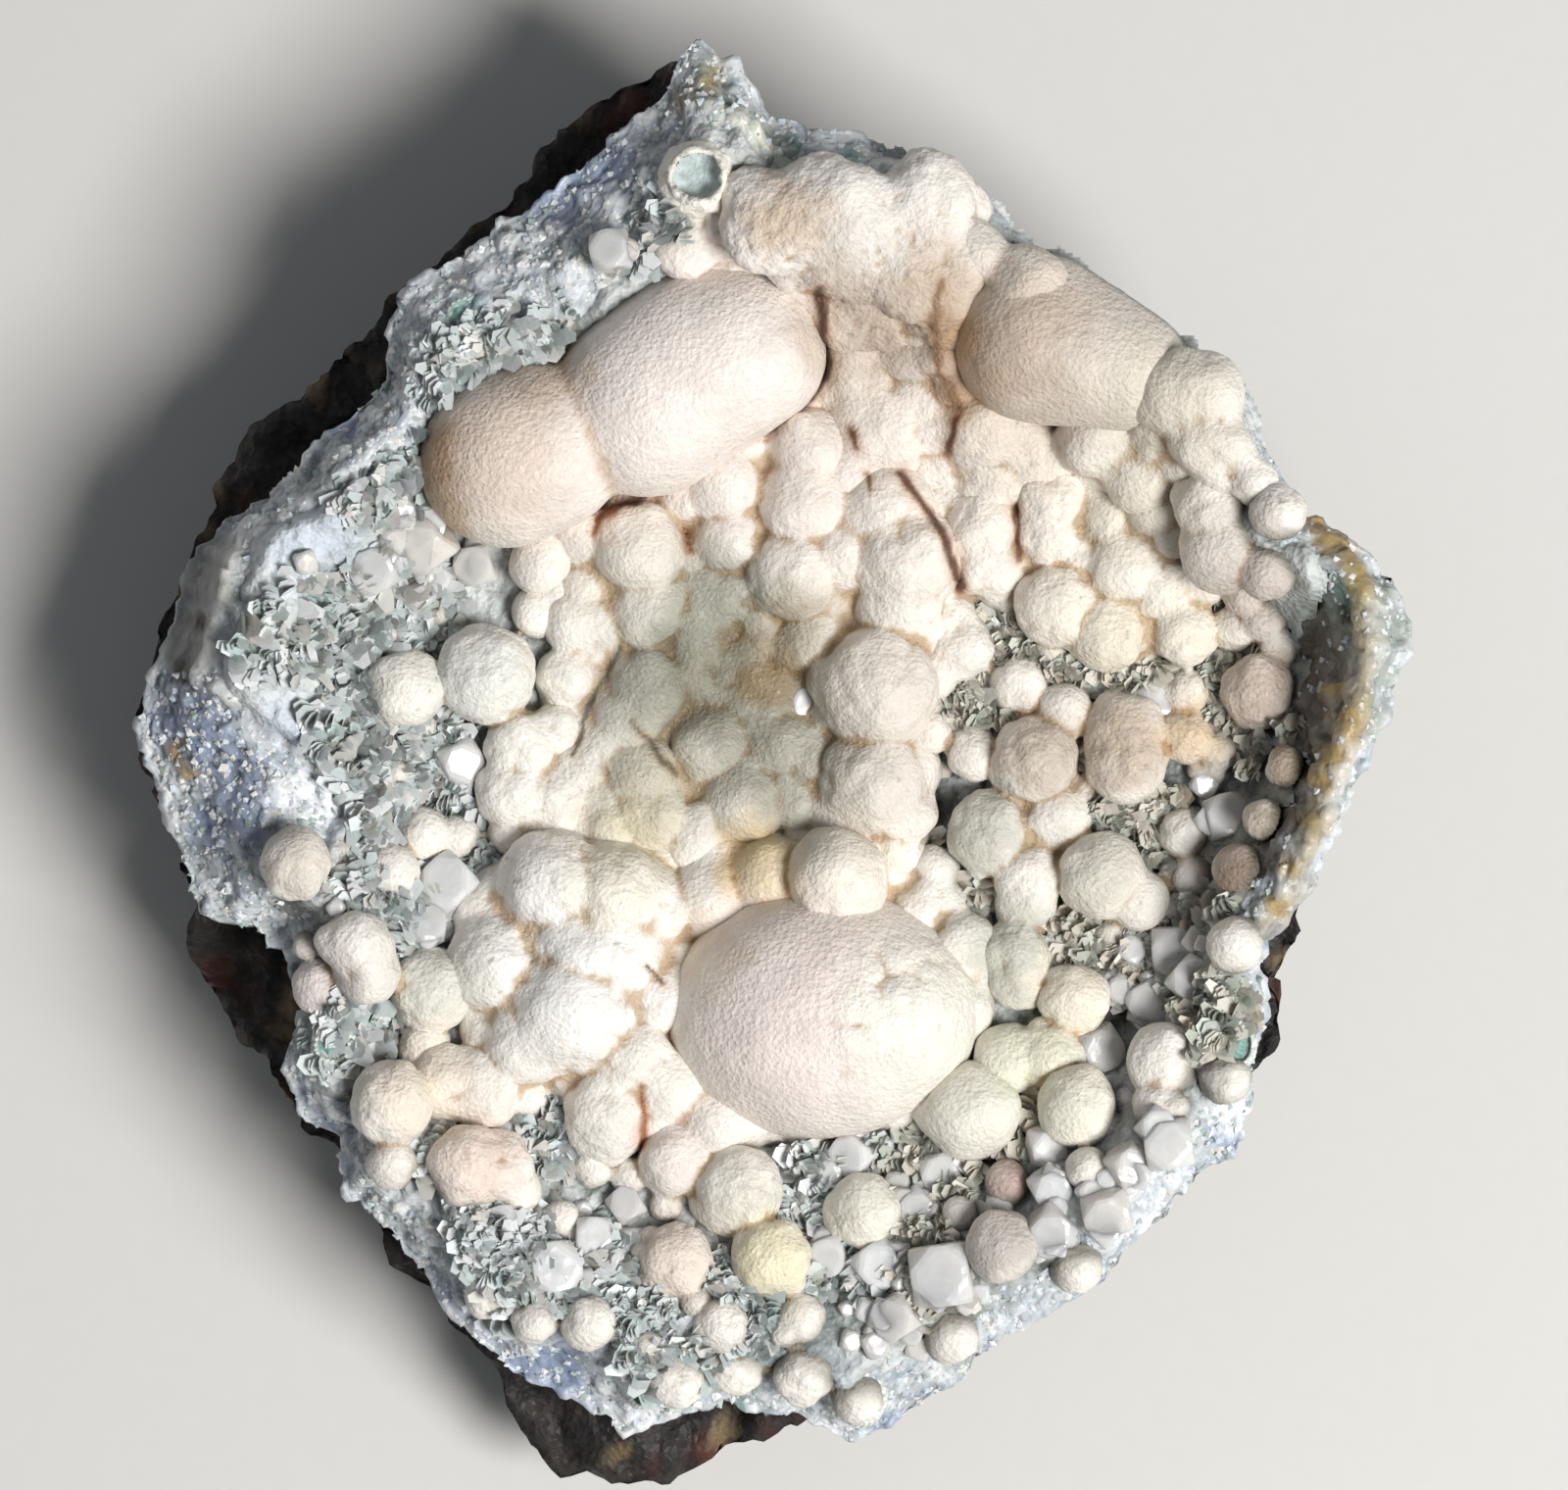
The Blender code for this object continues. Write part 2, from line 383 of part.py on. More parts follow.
def make_basalt(material):
    rng = random.Random(SEED + 1)
    direction, reach = stations()
    rock = edge_reach(BASALT_EDGE, direction)
    shared = contact_rings(direction, reach, CONTACT_GAP)
    # Under the lining the rock's top follows it; past the lining it slopes away
    under_edge = by_direction(RIM, 1, direction) - by_direction(RIM, 5, direction)
    shared_reach = np.hypot(shared[-1][:, 0], shared[-1][:, 1])
    along = np.clip((rock - shared_reach) / (reach - shared_reach), 0.0, 1.0)
    followed = shared[-1][:, 2] + (under_edge - shared[-1][:, 2]) * along
    shoulder = followed - SHOULDER_DROP - SHOULDER_SLOPE * np.maximum(rock - reach, 0.0)
    sides = [ring(direction, rock * BASE_SHARE, 0.0 * rock)]
    for share in (0.16, 0.36, 0.58, 0.8):
        height = shoulder * share
        points = ring(direction, rock_reach(direction, rock, height, share), height)
        for point in points:
            scale = 1.0 + rng.uniform(-1.0, 0.3) * ROCK_JITTER / math.hypot(point[0], point[1])
            point[0] *= scale
            point[1] *= scale
            point[2] += rng.uniform(-1.0, 1.0) * ROCK_JITTER
        sides.append(points)
    sides.append(ring(direction, rock, shoulder))
    top = (0.0, 0.0, float(lining_underside(0.0, 0.0)) - CONTACT_GAP)
    body = ring_body(sides + shared[::-1], (0.0, 0.0, 0.0), top)
    return add_object("basalt_matrix", body, material)


def add_ball(body, middle, half_sizes, detail):
    stretch = Matrix.Diagonal((*[size * MM for size in half_sizes], 1.0))
    place = Matrix.Translation(Vector(middle) * MM) @ stretch
    bmesh.ops.create_icosphere(body, subdivisions=detail, radius=1.0, matrix=place)


def druse_height(x, y):
    return float(lining_top(x, y)) + CRUST_SKIN


def make_crust_form():
    # The druse sheet and the globules in it, still as overlapping closed forms
    direction, reach = stations()
    crust_reach = reach - by_direction(CRUST_INSET, 1, direction)
    sheet_rings = []
    for share in (0.3, 0.55, 0.8, 1.0):
        points = height_ring(direction, crust_reach * share, lining_top, CRUST_ROOT)
        sheet_rings.append(points)
    for share in (0.985, 0.94, 0.89, 0.83, 0.75, 0.6, 0.4, 0.2):
        points = height_ring(direction, crust_reach * share, lining_top, -CRUST_SKIN)
        sheet_rings.append(points)
    floor = float(lining_top(0.0, 0.0))
    below = (0.0, 0.0, floor - CRUST_ROOT)
    above = (0.0, 0.0, floor + CRUST_SKIN)
    body = ring_body(sheet_rings, below, above)
    for x, y, radius, lift in PEANUT + GLOBULES:
        middle = (x, y, druse_height(x, y) + CRUST_SINK * radius + lift)
        add_ball(body, middle, (radius, radius, radius), 3)
    for x, y, half_x, half_y, top, half_height in DOMES:
        add_ball(body, (x, y, top - half_height), (half_x, half_y, half_height), 4)
    x, y, outer, cup, depth = BROKEN_CUP
    add_ball(body, (x, y, druse_height(x, y) + CUP_RAISE), (outer, outer, outer), 3)
    return add_object("globule_crust", body)


def make_cup_cutter():
    # What is missing from the broken hollow ball
    x, y, outer, cup, depth = BROKEN_CUP
    top = druse_height(x, y) + CUP_RAISE + outer
    body = bmesh.new()
    add_ball(body, (x, y, top + 0.4), (cup, cup, depth), 2)
    return add_object("cup_cutter", body)


def make_crystals():
    # Six-sided blocks with chamfered tops, half sunk in the crust
    rng = random.Random(SEED + 2)
    body = bmesh.new()
    for x, y, half, turn in CRYSTALS:
        base = druse_height(x, y) + CRYSTAL_RAISE
        tilt = Matrix.Rotation(math.radians(rng.uniform(-1, 1) * CRYSTAL_LEAN), 4, 'X')
        lean = Matrix.Rotation(math.radians(rng.uniform(-1, 1) * CRYSTAL_LEAN), 4, 'Y')
        spin = Matrix.Rotation(math.radians(turn), 4, 'Z')
        place = Matrix.Translation(Vector((x, y, base)) * MM) @ spin @ tilt @ lean
        stretch = rng.uniform(0.86, 1.0)
        levels = [(-1.1, 1.0), (0.55, 1.0), (0.95, 0.72)]
        rows = []
        for height, width in levels:
            row = []
            for corner in range(6):
                angle = math.radians(60 * corner)
                across = math.cos(angle) * width
                along = math.sin(angle) * width * stretch
                point = Vector((across, along, height))
                row.append(body.verts.new(place @ (point * half * MM)))
            rows.append(row)
        for lower, upper in zip(rows, rows[1:]):
            for i in range(6):
                j = (i + 1) % 6
                body.faces.new((lower[i], lower[j], upper[j], upper[i]))
        body.faces.new(rows[0][::-1])
        body.faces.new(rows[-1])
    bmesh.ops.triangulate(body, faces=body.faces)
    return add_object("crystal_blocks", body)


def make_bed_cutter():
    # Everything below the lining's upper face, raised by the gap, to seat the crust on it
    direction, reach = stations()
    rings = lining_top_rings(direction, reach)
    for points in rings:
        points[:, 2] += CONTACT_GAP
    skirt = rings[0].copy()
    skirt[:, :2] *= BED_SPREAD
    bottom = skirt.copy()
    bottom[:, 2] = BED_DEPTH
    above = (0.0, 0.0, float(lining_top(0.0, 0.0)) + CONTACT_GAP)
    body = ring_body([bottom, skirt] + rings, (0.0, 0.0, BED_DEPTH), above)
    return add_object("bed_cutter", body)


def add_boolean(obj, name, operation, other):
    modifier = obj.modifiers.new(name, 'BOOLEAN')
    modifier.operation = operation
    modifier.object = other
    modifier.solver = 'EXACT'
    modifier.use_self = operation == 'UNION'
    hide_helper(other)


def make_crust(material):
    crust = make_crust_form()
    crust.data.materials.append(material)
    remesh = crust.modifiers.new("grown together", 'REMESH')
    remesh.mode = 'VOXEL'
    remesh.voxel_size = CRUST_VOXEL * MM
    remesh.use_smooth_shade = True
    thin = crust.modifiers.new("fewer faces", 'DECIMATE')
    thin.ratio = CRUST_KEEP
    add_boolean(crust, "broken cup", 'DIFFERENCE', make_cup_cutter())
    add_boolean(crust, "crystals", 'UNION', make_crystals())
    add_boolean(crust, "seat on the lining", 'DIFFERENCE', make_bed_cutter())
    return crust


def main():
    for obj in list(bpy.data.objects):
        bpy.data.objects.remove(obj, do_unlink=True)
    basalt = make_material("basalt", (0.035, 0.027, 0.024), 0.85)
    chalcedony = make_material("chalcedony", (0.60, 0.65, 0.72), 0.45)
    globules = make_material("globule_crust", (0.82, 0.74, 0.66), 0.55)
    make_basalt(basalt)
    make_lining(chalcedony)
    make_crust(globules)


main()
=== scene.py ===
# A vug in broken basalt, lined with chalcedony and filled with round globules, lying on its back
# and seen from straight above. Lists and sizes are in millimetres, in the part's own frame.
import math
import random

import bmesh
import bpy
import numpy as np
from mathutils import Matrix, Vector
from mathutils.bvhtree import BVHTree


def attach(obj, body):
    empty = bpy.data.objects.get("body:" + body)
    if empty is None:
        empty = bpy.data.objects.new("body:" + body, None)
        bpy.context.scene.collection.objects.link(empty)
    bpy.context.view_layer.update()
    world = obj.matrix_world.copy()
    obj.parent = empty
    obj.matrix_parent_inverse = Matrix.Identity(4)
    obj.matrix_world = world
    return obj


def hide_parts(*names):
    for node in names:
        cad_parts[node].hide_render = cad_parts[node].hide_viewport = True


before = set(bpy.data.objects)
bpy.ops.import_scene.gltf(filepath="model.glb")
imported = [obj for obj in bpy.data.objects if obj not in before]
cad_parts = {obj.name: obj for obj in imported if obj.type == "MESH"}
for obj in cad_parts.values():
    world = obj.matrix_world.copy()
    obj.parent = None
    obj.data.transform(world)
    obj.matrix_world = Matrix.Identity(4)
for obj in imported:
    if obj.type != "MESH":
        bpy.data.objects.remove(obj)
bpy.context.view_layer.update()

mm = 0.001

camera = {"height": 1200.0, "seenWidth": 160.0, "seenLevel": 35.0, "over": (1.8, 1.9), "sensor": 36.0}


def makeCamera():
    data = bpy.data.cameras.new("camera")
    data.sensor_width = camera["sensor"]
    data.lens = camera["sensor"] * (camera["height"] - camera["seenLevel"]) / camera["seenWidth"]
    data.clip_start = 0.1
    data.clip_end = 20.0
    obj = bpy.data.objects.new("camera", data)
    obj.location = (camera["over"][0] * mm, camera["over"][1] * mm, camera["height"] * mm)
    bpy.context.scene.collection.objects.link(obj)
    bpy.context.scene.camera = obj


makeCamera()


# The vug itself: its measured outlines, the section of its wall in each direction, and what grew in it

bowl = {"floor": 26.0, "dish": 3.0, "floorThickness": 3.0, "druse": 1.7, "tucked": 0.42}
# riding: how far a globule stands above the druse, as a share of its radius; lowSink: how much deeper
# those within lowSinkWithin of the lower edge stand; budded: radii of the globules that carry knobs
crust = {
    "riding": 0.22, "crystalRaise": 0.6, "crystalLean": 16.0, "cupRaise": 0.5, "lowSink": 1.6,
    "lowSinkWithin": 9.0, "budded": (3.3, 7.0),
}

liningEdge = [
    (65.4, 13.9), (64.3, 17.4), (61.8, 20.4), (58.3, 23.4), (55.0, 24.9), (53.4, 27.4), (51.7, 30.7),
    (50.0, 33.9), (48.2, 37.9), (45.2, 41.2), (40.6, 43.9), (37.6, 45.7), (32.1, 48.4), (30.0, 51.2),
    (25.3, 53.9), (21.3, 58.7), (16.3, 62.1), (11.8, 63.1), (4.8, 64.9), (0.3, 66.1), (-2.0, 69.9),
    (-3.0, 71.9), (-4.7, 71.7), (-7.0, 74.1), (-9.0, 71.7), (-10.2, 68.4), (-14.2, 65.4), (-18.2, 61.4),
    (-23.2, 57.2), (-28.2, 53.4), (-33.2, 50.7), (-37.2, 47.9), (-38.2, 43.4), (-39.7, 38.4),
    (-43.2, 35.4), (-47.2, 31.4), (-51.2, 27.9), (-55.7, 24.9), (-58.7, 21.9), (-60.0, 17.9),
    (-62.0, 11.9), (-63.7, 6.9), (-64.7, 3.7), (-62.7, -0.6), (-61.7, -5.1), (-59.7, -10.1),
    (-58.2, -15.6), (-52.7, -17.1), (-49.2, -19.6), (-47.9, -23.1), (-48.2, -27.1), (-49.5, -31.1),
    (-47.7, -35.9), (-44.4, -39.1), (-43.0, -44.1), (-38.2, -48.6), (-34.2, -53.9), (-30.2, -59.1),
    (-26.2, -63.3), (-22.2, -63.6), (-18.2, -66.1), (-14.7, -68.8), (-8.2, -66.6), (-3.7, -65.6),
    (1.8, -66.8), (5.8, -68.6), (8.8, -69.9), (11.8, -68.6), (18.3, -64.1), (22.8, -60.1),
    (27.8, -56.6), (33.8, -53.1), (38.8, -48.1), (43.8, -43.1), (48.3, -39.1), (49.6, -33.1),
    (50.8, -28.1), (50.3, -22.1), (50.8, -18.1), (53.3, -15.1), (55.3, -11.6), (57.0, -8.1),
    (60.3, -1.1), (63.0, 5.9), (64.8, 10.9),
]

basaltEdge = [
    (61.8, 12.9), (60.3, 18.9), (54.3, 22.9), (49.5, 28.0), (46.0, 35.5), (40.5, 41.0), (32.0, 46.5),
    (26.0, 51.0), (19.5, 57.0), (11.3, 61.0), (1.8, 64.0), (-3.0, 68.5), (-7.0, 71.0), (-9.2, 71.9),
    (-12.2, 70.7), (-15.7, 69.9), (-18.2, 67.7), (-20.7, 65.2), (-22.7, 63.4), (-24.2, 60.9),
    (-26.7, 58.1), (-28.7, 55.7), (-31.7, 53.9), (-33.6, 51.8), (-36.2, 49.8), (-38.4, 47.6),
    (-39.7, 44.8), (-41.7, 43.4), (-44.7, 41.9), (-46.0, 38.7), (-48.2, 37.6), (-51.2, 34.9),
    (-54.2, 32.4), (-55.9, 29.9), (-57.9, 25.9), (-59.5, 22.4), (-60.9, 17.9), (-62.6, 15.4),
    (-64.0, 12.4), (-65.0, 7.9), (-65.5, 3.9), (-64.7, 1.0), (-63.2, -1.2), (-62.2, -5.4),
    (-60.4, -10.1), (-59.4, -14.6), (-59.4, -19.1), (-57.9, -22.6), (-54.7, -27.1), (-51.9, -30.1),
    (-51.0, -33.3), (-49.4, -36.1), (-47.2, -38.6), (-44.9, -39.5), (-42.5, -42.5), (-39.9, -47.9),
    (-37.2, -52.6), (-33.2, -56.6), (-31.4, -59.6), (-29.2, -62.3), (-27.2, -65.1), (-25.2, -68.3),
    (-22.7, -70.9), (-21.7, -73.9), (-16.2, -74.1), (-8.2, -74.1), (-6.7, -72.4), (-4.4, -71.5),
    (-1.7, -69.9), (1.8, -67.7), (6.8, -66.5), (11.8, -65.5), (17.3, -62.1), (26.8, -54.6),
    (36.8, -46.6), (44.8, -39.6), (48.0, -32.1), (51.6, -30.3), (52.6, -28.1), (53.3, -24.1),
    (52.3, -22.3), (53.6, -19.9), (54.6, -17.1), (54.0, -12.1), (55.6, -7.1), (58.6, 0.9), (60.8, 7.4),
]

rimRows = [
    (0, 42, 2.2, 45, 13, 9.0), (10, 43, 4.0, 47, 13, 10.0), (18, 41, 3.6, 46, 15, 8.5),
    (30, 39, 3.0, 42, 16, 7.0), (45, 38, 3.0, 41, 20, 8.5), (60, 38, 3.0, 41, 24, 7.0),
    (80, 38, 5.0, 42, 28, 9.5), (95, 37, 8.0, 41, 30, 11.0), (105, 36, 8.0, 40, 26, 8.0),
    (120, 35, 6.0, 39, 22, 7.0), (135, 34, 4.0, 38, 14, 6.0), (150, 32, 5.0, 38, 22, 7.5),
    (160, 29, 6.5, 37, 28, 6.0), (170, 28, 8.0, 37, 30, 7.5), (180, 28, 12, 36, 32, 8.0),
    (197, 32, 8.0, 36, 24, 9.5), (215, 29, 4.0, 33, 14, 7.0), (232, 28, 6.0, 34, 16, 6.0),
    (250, 27, 8.0, 33, 20, 7.5), (265, 28, 6.0, 33, 20, 6.5), (280, 27, 8.0, 33, 22, 8.0),
    (300, 32, 5.0, 36, 20, 9.5), (315, 34, 5.0, 38, 18, 8.0), (325, 36, 5.0, 38.5, 14, 9.0),
    (340, 38, 2.5, 39.5, 9, 7.5), (350, 41, 2.0, 44, 12, 10.0),
]

rockBreaks = [
    (8, 18, 4.0), (38, 30, 6.5), (66, 12, 4.5), (88, 34, 8.0), (118, 20, 5.0), (143, 38, 9.0),
    (168, 14, 4.0), (190, 28, 6.5), (214, 10, 3.5), (237, 32, 7.5), (262, 16, 5.0), (285, 30, 7.0),
    (309, 12, 5.5), (336, 36, 7.5),
]

crustInset = [
    (0, 7), (12, 10), (22, 5), (32, 0.4), (45, 0.0), (60, 0.0), (72, 0.8), (85, 3), (95, 8), (102, 10),
    (112, 11), (120, 9), (130, 5), (140, 7), (150, 5), (157, 4), (165, 6), (171, 6), (174, 10),
    (178, 15), (186, 18), (197, 7), (207, 2), (215, 3), (230, 5), (240, 4), (255, 3), (268, 4),
    (280, 6), (292, 5), (303, 4), (318, 5), (330, 3), (342, 3), (350, 5),
]

peanut = [
    (-26.4, 31.3, 9.2, 2.6), (-19.2, 33.9, 8.7, 3.2), (-12.4, 37.1, 9.9, 2.4), (-7.7, 40.5, 10.2, 1.8),
    (-2.5, 42.3, 8.8, 2.8),
]

domes = [
    (5.3, -25.7, 15.9, 13.3, 42.5, 13.0), (12.6, -25.9, 9.0, 9.0, 41.4, 11.0),
    (-21.8, -12.4, 6.2, 5.8, 38.8, 8.0), (-15.6, -13.6, 5.8, 5.8, 39.0, 8.0),
    (-20.2, -25.3, 7.7, 7.0, 39.7, 9.0), (-17.8, -19.0, 8.2, 7.6, 38.4, 8.5),
    (27.4, 43.4, 8.6, 8.7, 46.8, 9.5), (36.4, 40.0, 6.8, 6.4, 46.0, 8.0),
]

globules = [
    (0.8, 54.4, 5.0, 1.0), (-4.7, 53.9, 2.2, 0), (-8.2, 51.9, 3.0, 0), (7.8, 55.6, 4.4, 0.6),
    (8.2, 51.6, 4.4, 0.6), (15.6, 49.6, 4.5, 1.0), (14.3, 45.9, 3.0, 0), (18.5, 45.2, 3.2, 0.5),
    (16.3, 57.0, 4.2, 0), (8.3, 45.9, 3.8, 0), (9.8, 39.9, 3.8, 0), (14.8, 42.4, 3.2, 0),
    (11.8, 34.9, 5.6, 0.6), (17.3, 35.9, 3.0, 1.0), (18.3, 30.9, 3.0, 1.0), (22.2, 34.4, 4.5, 0.5),
    (23.2, 29.7, 3.8, 1.4), (27.0, 31.2, 4.0, 0.6), (26.6, 48.4, 4.3, -0.6),
    (41.4, 37.6, 4.4, 0.2), (44.6, 37.2, 4.0, 0.2), (44.0, 33.0, 3.5, 0.8), (33.8, 33.2, 3.9, 1.6),
    (39.8, 33.9, 2.8, 0.6), (48.0, 30.9, 2.1, 0), (49.5, 28.6, 2.5, 0), (51.7, 25.4, 2.9, 0),
    (29.3, 27.0, 3.6, 1.8), (29.0, 23.6, 3.5, 1.4), (29.8, 16.2, 4.3, 1.6), (35.3, 24.9, 3.5, 1.2),
    (38.3, 29.6, 4.1, 1.2), (39.8, 25.9, 3.0, 1.4), (36.8, 20.4, 4.4, 1.2), (40.3, 17.7, 3.6, 1.0),
    (35.0, 13.4, 4.1, 1.4), (42.6, 13.6, 3.6, 1.0), (45.3, 25.9, 3.7, 0.4), (46.3, 21.7, 4.3, 0.6),
    (44.3, 18.9, 3.0, 0.2), (50.8, 19.6, 3.0, 1.2), (49.0, 17.2, 2.2, 0.4), (50.8, 14.9, 2.4, 0.8),
    (48.0, 13.9, 2.5, 0.6), (52.3, 11.9, 2.4, 0.4), (50.3, 7.4, 3.8, 1.6), (22.1, 24.2, 4.0, 1.4),
    (22.4, 20.6, 3.6, 1.0), (12.3, 25.9, 4.8, 2.4), (14.3, 20.9, 5.7, 2.4), (13.8, 16.4, 4.5, 1.8),
    (4.3, 32.2, 4.3, 2.4), (3.8, 26.9, 4.9, 2.6), (2.8, 19.6, 5.0, 2.2), (8.4, 29.6, 3.8, 1.6),
    (8.2, 21.6, 4.4, 1.8), (-4.2, 28.4, 4.0, 2.4), (-3.7, 23.2, 3.8, 1.8), (-8.2, 27.2, 3.0, 1.4),
    (-13.2, 21.9, 4.8, 2.0), (-12.2, 15.9, 4.1, 1.4), (-18.4, 17.9, 2.9, 0.8), (-18.7, 23.2, 3.2, 1.4),
    (-23.7, 15.4, 2.7, 0.4), (-23.4, 20.1, 2.8, 1.6), (-5.2, 16.9, 4.2, 0), (-7.7, 12.4, 3.6, 0),
    (-12.2, 7.9, 4.3, 0.6), (-8.0, 9.0, 3.3, 0), (-1.2, 12.6, 3.0, -0.4), (5.3, 12.9, 4.0, 0.6),
    (-0.2, 7.4, 2.5, -1.2), (-3.2, 8.9, 2.3, -1.0), (-5.7, 1.9, 4.0, 0.4), (1.3, 1.6, 3.8, 0),
    (4.9, 0.1, 3.4, 0), (-2.2, -4.1, 4.3, 0.4), (3.3, -4.1, 3.2, 0.2), (11.3, 7.9, 6.4, 2.0),
    (10.8, -2.1, 5.3, 1.6), (13.8, -5.1, 3.6, 1.0), (7.8, -4.6, 3.4, 0.8), (-17.2, 1.4, 3.1, 0.6),
    (-14.2, 4.1, 3.5, 0.8), (-12.7, -1.1, 3.8, 1.0), (-15.7, -3.6, 2.8, 0.6), (-11.7, -5.3, 3.8, 0.8),
    (-7.7, -8.1, 3.2, 0.4), (-37.0, 7.6, 4.0, 1.6), (-28.7, 9.1, 5.1, 2.0), (-20.7, 8.9, 3.0, 0.8),
    (-18.2, 12.7, 2.9, 0), (-25.2, 1.6, 3.7, 1.2), (-21.7, 3.4, 2.8, 1.0), (-26.2, -3.1, 3.6, 1.0),
    (-21.7, -3.4, 3.4, 0.8), (-18.2, -5.3, 2.4, 0.2), (-48.0, -10.1, 3.6, 0.6), (-35.2, -7.1, 2.9, 0.4),
    (-31.7, -7.4, 2.4, 0.2), (-38.5, -11.1, 3.0, 0.6), (-41.8, -18.4, 3.6, 1.2),
    (-40.6, -21.4, 3.4, 1.0), (-45.5, -22.9, 3.0, 0.8), (-34.2, -23.1, 4.4, 1.4),
    (-26.5, -7.4, 2.2, 0.6), (-28.0, -20.4, 4.8, 2.4), (-12.2, -14.9, 4.3, 1.8),
    (-24.4, -28.1, 4.6, 2.4), (-14.0, -30.1, 4.2, 2.0), (-11.0, -23.8, 3.8, 1.6),
    (-10.2, -33.3, 4.1, 1.2), (-5.4, -36.9, 3.8, 1.0), (-38.2, -34.6, 4.3, 1.4),
    (-33.0, -32.6, 4.0, 1.4), (-29.2, -33.4, 4.2, 1.2), (-35.0, -29.2, 2.9, 0.6),
    (-30.6, -41.0, 4.1, 1.2), (-27.6, -41.2, 3.8, 1.0), (-25.6, -43.6, 2.6, 0.4),
    (-24.4, -34.1, 2.1, 0.8), (-38.2, -41.1, 2.7, 0.2), (-16.6, -35.4, 4.0, 1.6),
    (-16.6, -37.2, 3.8, 1.4), (-17.8, -41.2, 2.2, 0.4), (-9.4, -40.6, 3.8, 1.4),
    (-14.0, -42.1, 2.1, 0.2), (-2.9, -43.8, 4.7, 1.0), (0.4, -50.6, 4.1, 1.4), (9.9, -45.6, 4.0, 1.4),
    (-9.2, -51.1, 3.9, 0.6), (-11.7, -49.9, 2.6, 0.4), (12.8, -35.6, 2.4, 0), (-20.9, -46.7, 2.2, 0.2),
    (-18.0, -56.9, 2.9, 0.4), (-23.7, -56.9, 2.3, 0.2), (-9.6, -62.6, 3.2, -0.4),
    (-4.5, -57.5, 3.0, -0.4), (-3.0, -61.4, 3.2, -0.6), (3.8, -62.4, 3.2, -0.6),
    (9.4, -64.8, 2.8, -0.8), (3.4, -56.8, 2.8, -0.8), (18.9, -58.5, 3.0, -0.2),
    (-28.4, -54.2, 2.6, -0.2), (31.5, -51.2, 2.8, -0.4), (39.8, -34.8, 2.6, 0),
    (46.6, -32.0, 2.6, -0.2), (7.2, -12.0, 5.3, 4.4), (0.6, -11.8, 4.2, 1.6), (-5.9, -14.1, 4.2, 0.8),
    (20.3, -25.1, 3.2, 0.8), (20.5, -18.6, 3.5, 0.8), (16.8, -13.6, 2.8, 0.4), (17.3, -10.6, 2.5, 0.4),
    (15.8, -17.9, 2.2, 0.4), (27.4, 0.4, 4.5, 1.4), (30.5, 5.2, 3.0, 0.8), (22.8, -7.1, 4.3, 1.2),
    (26.8, -11.6, 3.6, 0.8), (26.6, -14.6, 3.2, 0.6), (29.8, -5.6, 3.6, 0.4), (36.6, 3.2, 4.1, 1.0),
    (36.8, 0.2, 4.2, 1.0), (43.0, 2.9, 2.9, 0.6), (43.3, 7.2, 2.4, 0.4), (46.3, 1.4, 2.2, 0),
    (34.3, -11.4, 4.5, 1.6), (38.1, -13.9, 3.2, 1.2), (25.6, -19.6, 3.5, 1.0), (25.8, -22.0, 3.3, 0.8),
    (31.6, -24.1, 3.6, 1.4), (28.8, -30.0, 3.7, 1.2), (24.8, -30.2, 3.6, 1.2), (20.8, -35.6, 5.2, 1.6),
    (31.8, -35.1, 4.2, 1.4), (20.1, 11.7, 3.4, 0.2), (21.3, 0.9, 2.9, 0.6), (25.8, 7.9, 3.1, 0.4),
    (43.8, -11.6, 2.4, 0.2), (48.2, -10.9, 2.9, 0.2), (50.7, -5.6, 2.3, 0), (53.0, -0.4, 2.3, 0),
    (47.6, -18.3, 3.0, 0.6), (42.8, -7.1, 2.7, 0), (40.6, -30.4, 4.0, 0.6), (24.0, -49.1, 3.8, 1.0),
    (24.5, -42.8, 2.4, 0.2), (19.8, -46.1, 2.1, 0.2), (32.8, -41.4, 2.4, 0),
]

crystalSpots = [
    (-15.7, 52.1, 2.3, 10), (40.0, 6.7, 2.2, 40), (46.9, -5.4, 2.5, 15), (41.9, -19.1, 2.7, 5),
    (43.6, -22.2, 2.4, 50), (39.2, -24.3, 2.4, 30), (34.1, -29.1, 2.5, 22), (-21.8, -51.4, 3.0, 12),
    (-14.4, -45.2, 1.9, 35), (-17.6, -48.4, 2.1, 0), (6.4, -50.2, 2.3, 18), (11.6, -51.1, 2.6, 42),
    (17.8, -52.3, 3.5, 8), (13.3, -56.5, 2.4, 30), (17.9, -41.6, 2.2, 25), (15.6, -45.6, 2.2, 50),
    (28.6, -39.1, 2.1, 5), (29.0, -43.2, 2.3, 28), (28.8, -47.4, 2.5, 46), (34.6, -45.6, 2.6, 14),
    (36.6, -40.8, 2.2, 33), (40.8, -38.6, 2.8, 8), (8.8, -40.2, 2.3, 52), (-35.2, 22.4, 3.2, 38),
    (-29.9, 20.3, 2.3, 12), (-39.9, 19.9, 2.6, 25), (-31.5, 0.2, 2.6, 20), (-32.7, -12.1, 2.9, 44),
    (-34.9, -16.6, 2.2, 6), (3.8, 6.1, 2.0, 30),
]


# The section of the bowl: heights of the lining and the druse at any place

def smoothStep(value):
    t = np.clip(value, 0.0, 1.0)
    return t * t * (3.0 - 2.0 * t)


def edgeReach(outline, direction):  # from the middle out to a star-shaped outline
    points = np.array(outline)
    angles = np.arctan2(points[:, 1], points[:, 0])
    return np.interp(direction, angles, np.hypot(points[:, 0], points[:, 1]), period=math.tau)


def byDirection(rows, column, direction):
    table = np.array(rows, dtype=float)
    return np.interp(direction, np.radians(table[:, 0]), table[:, column], period=math.tau)


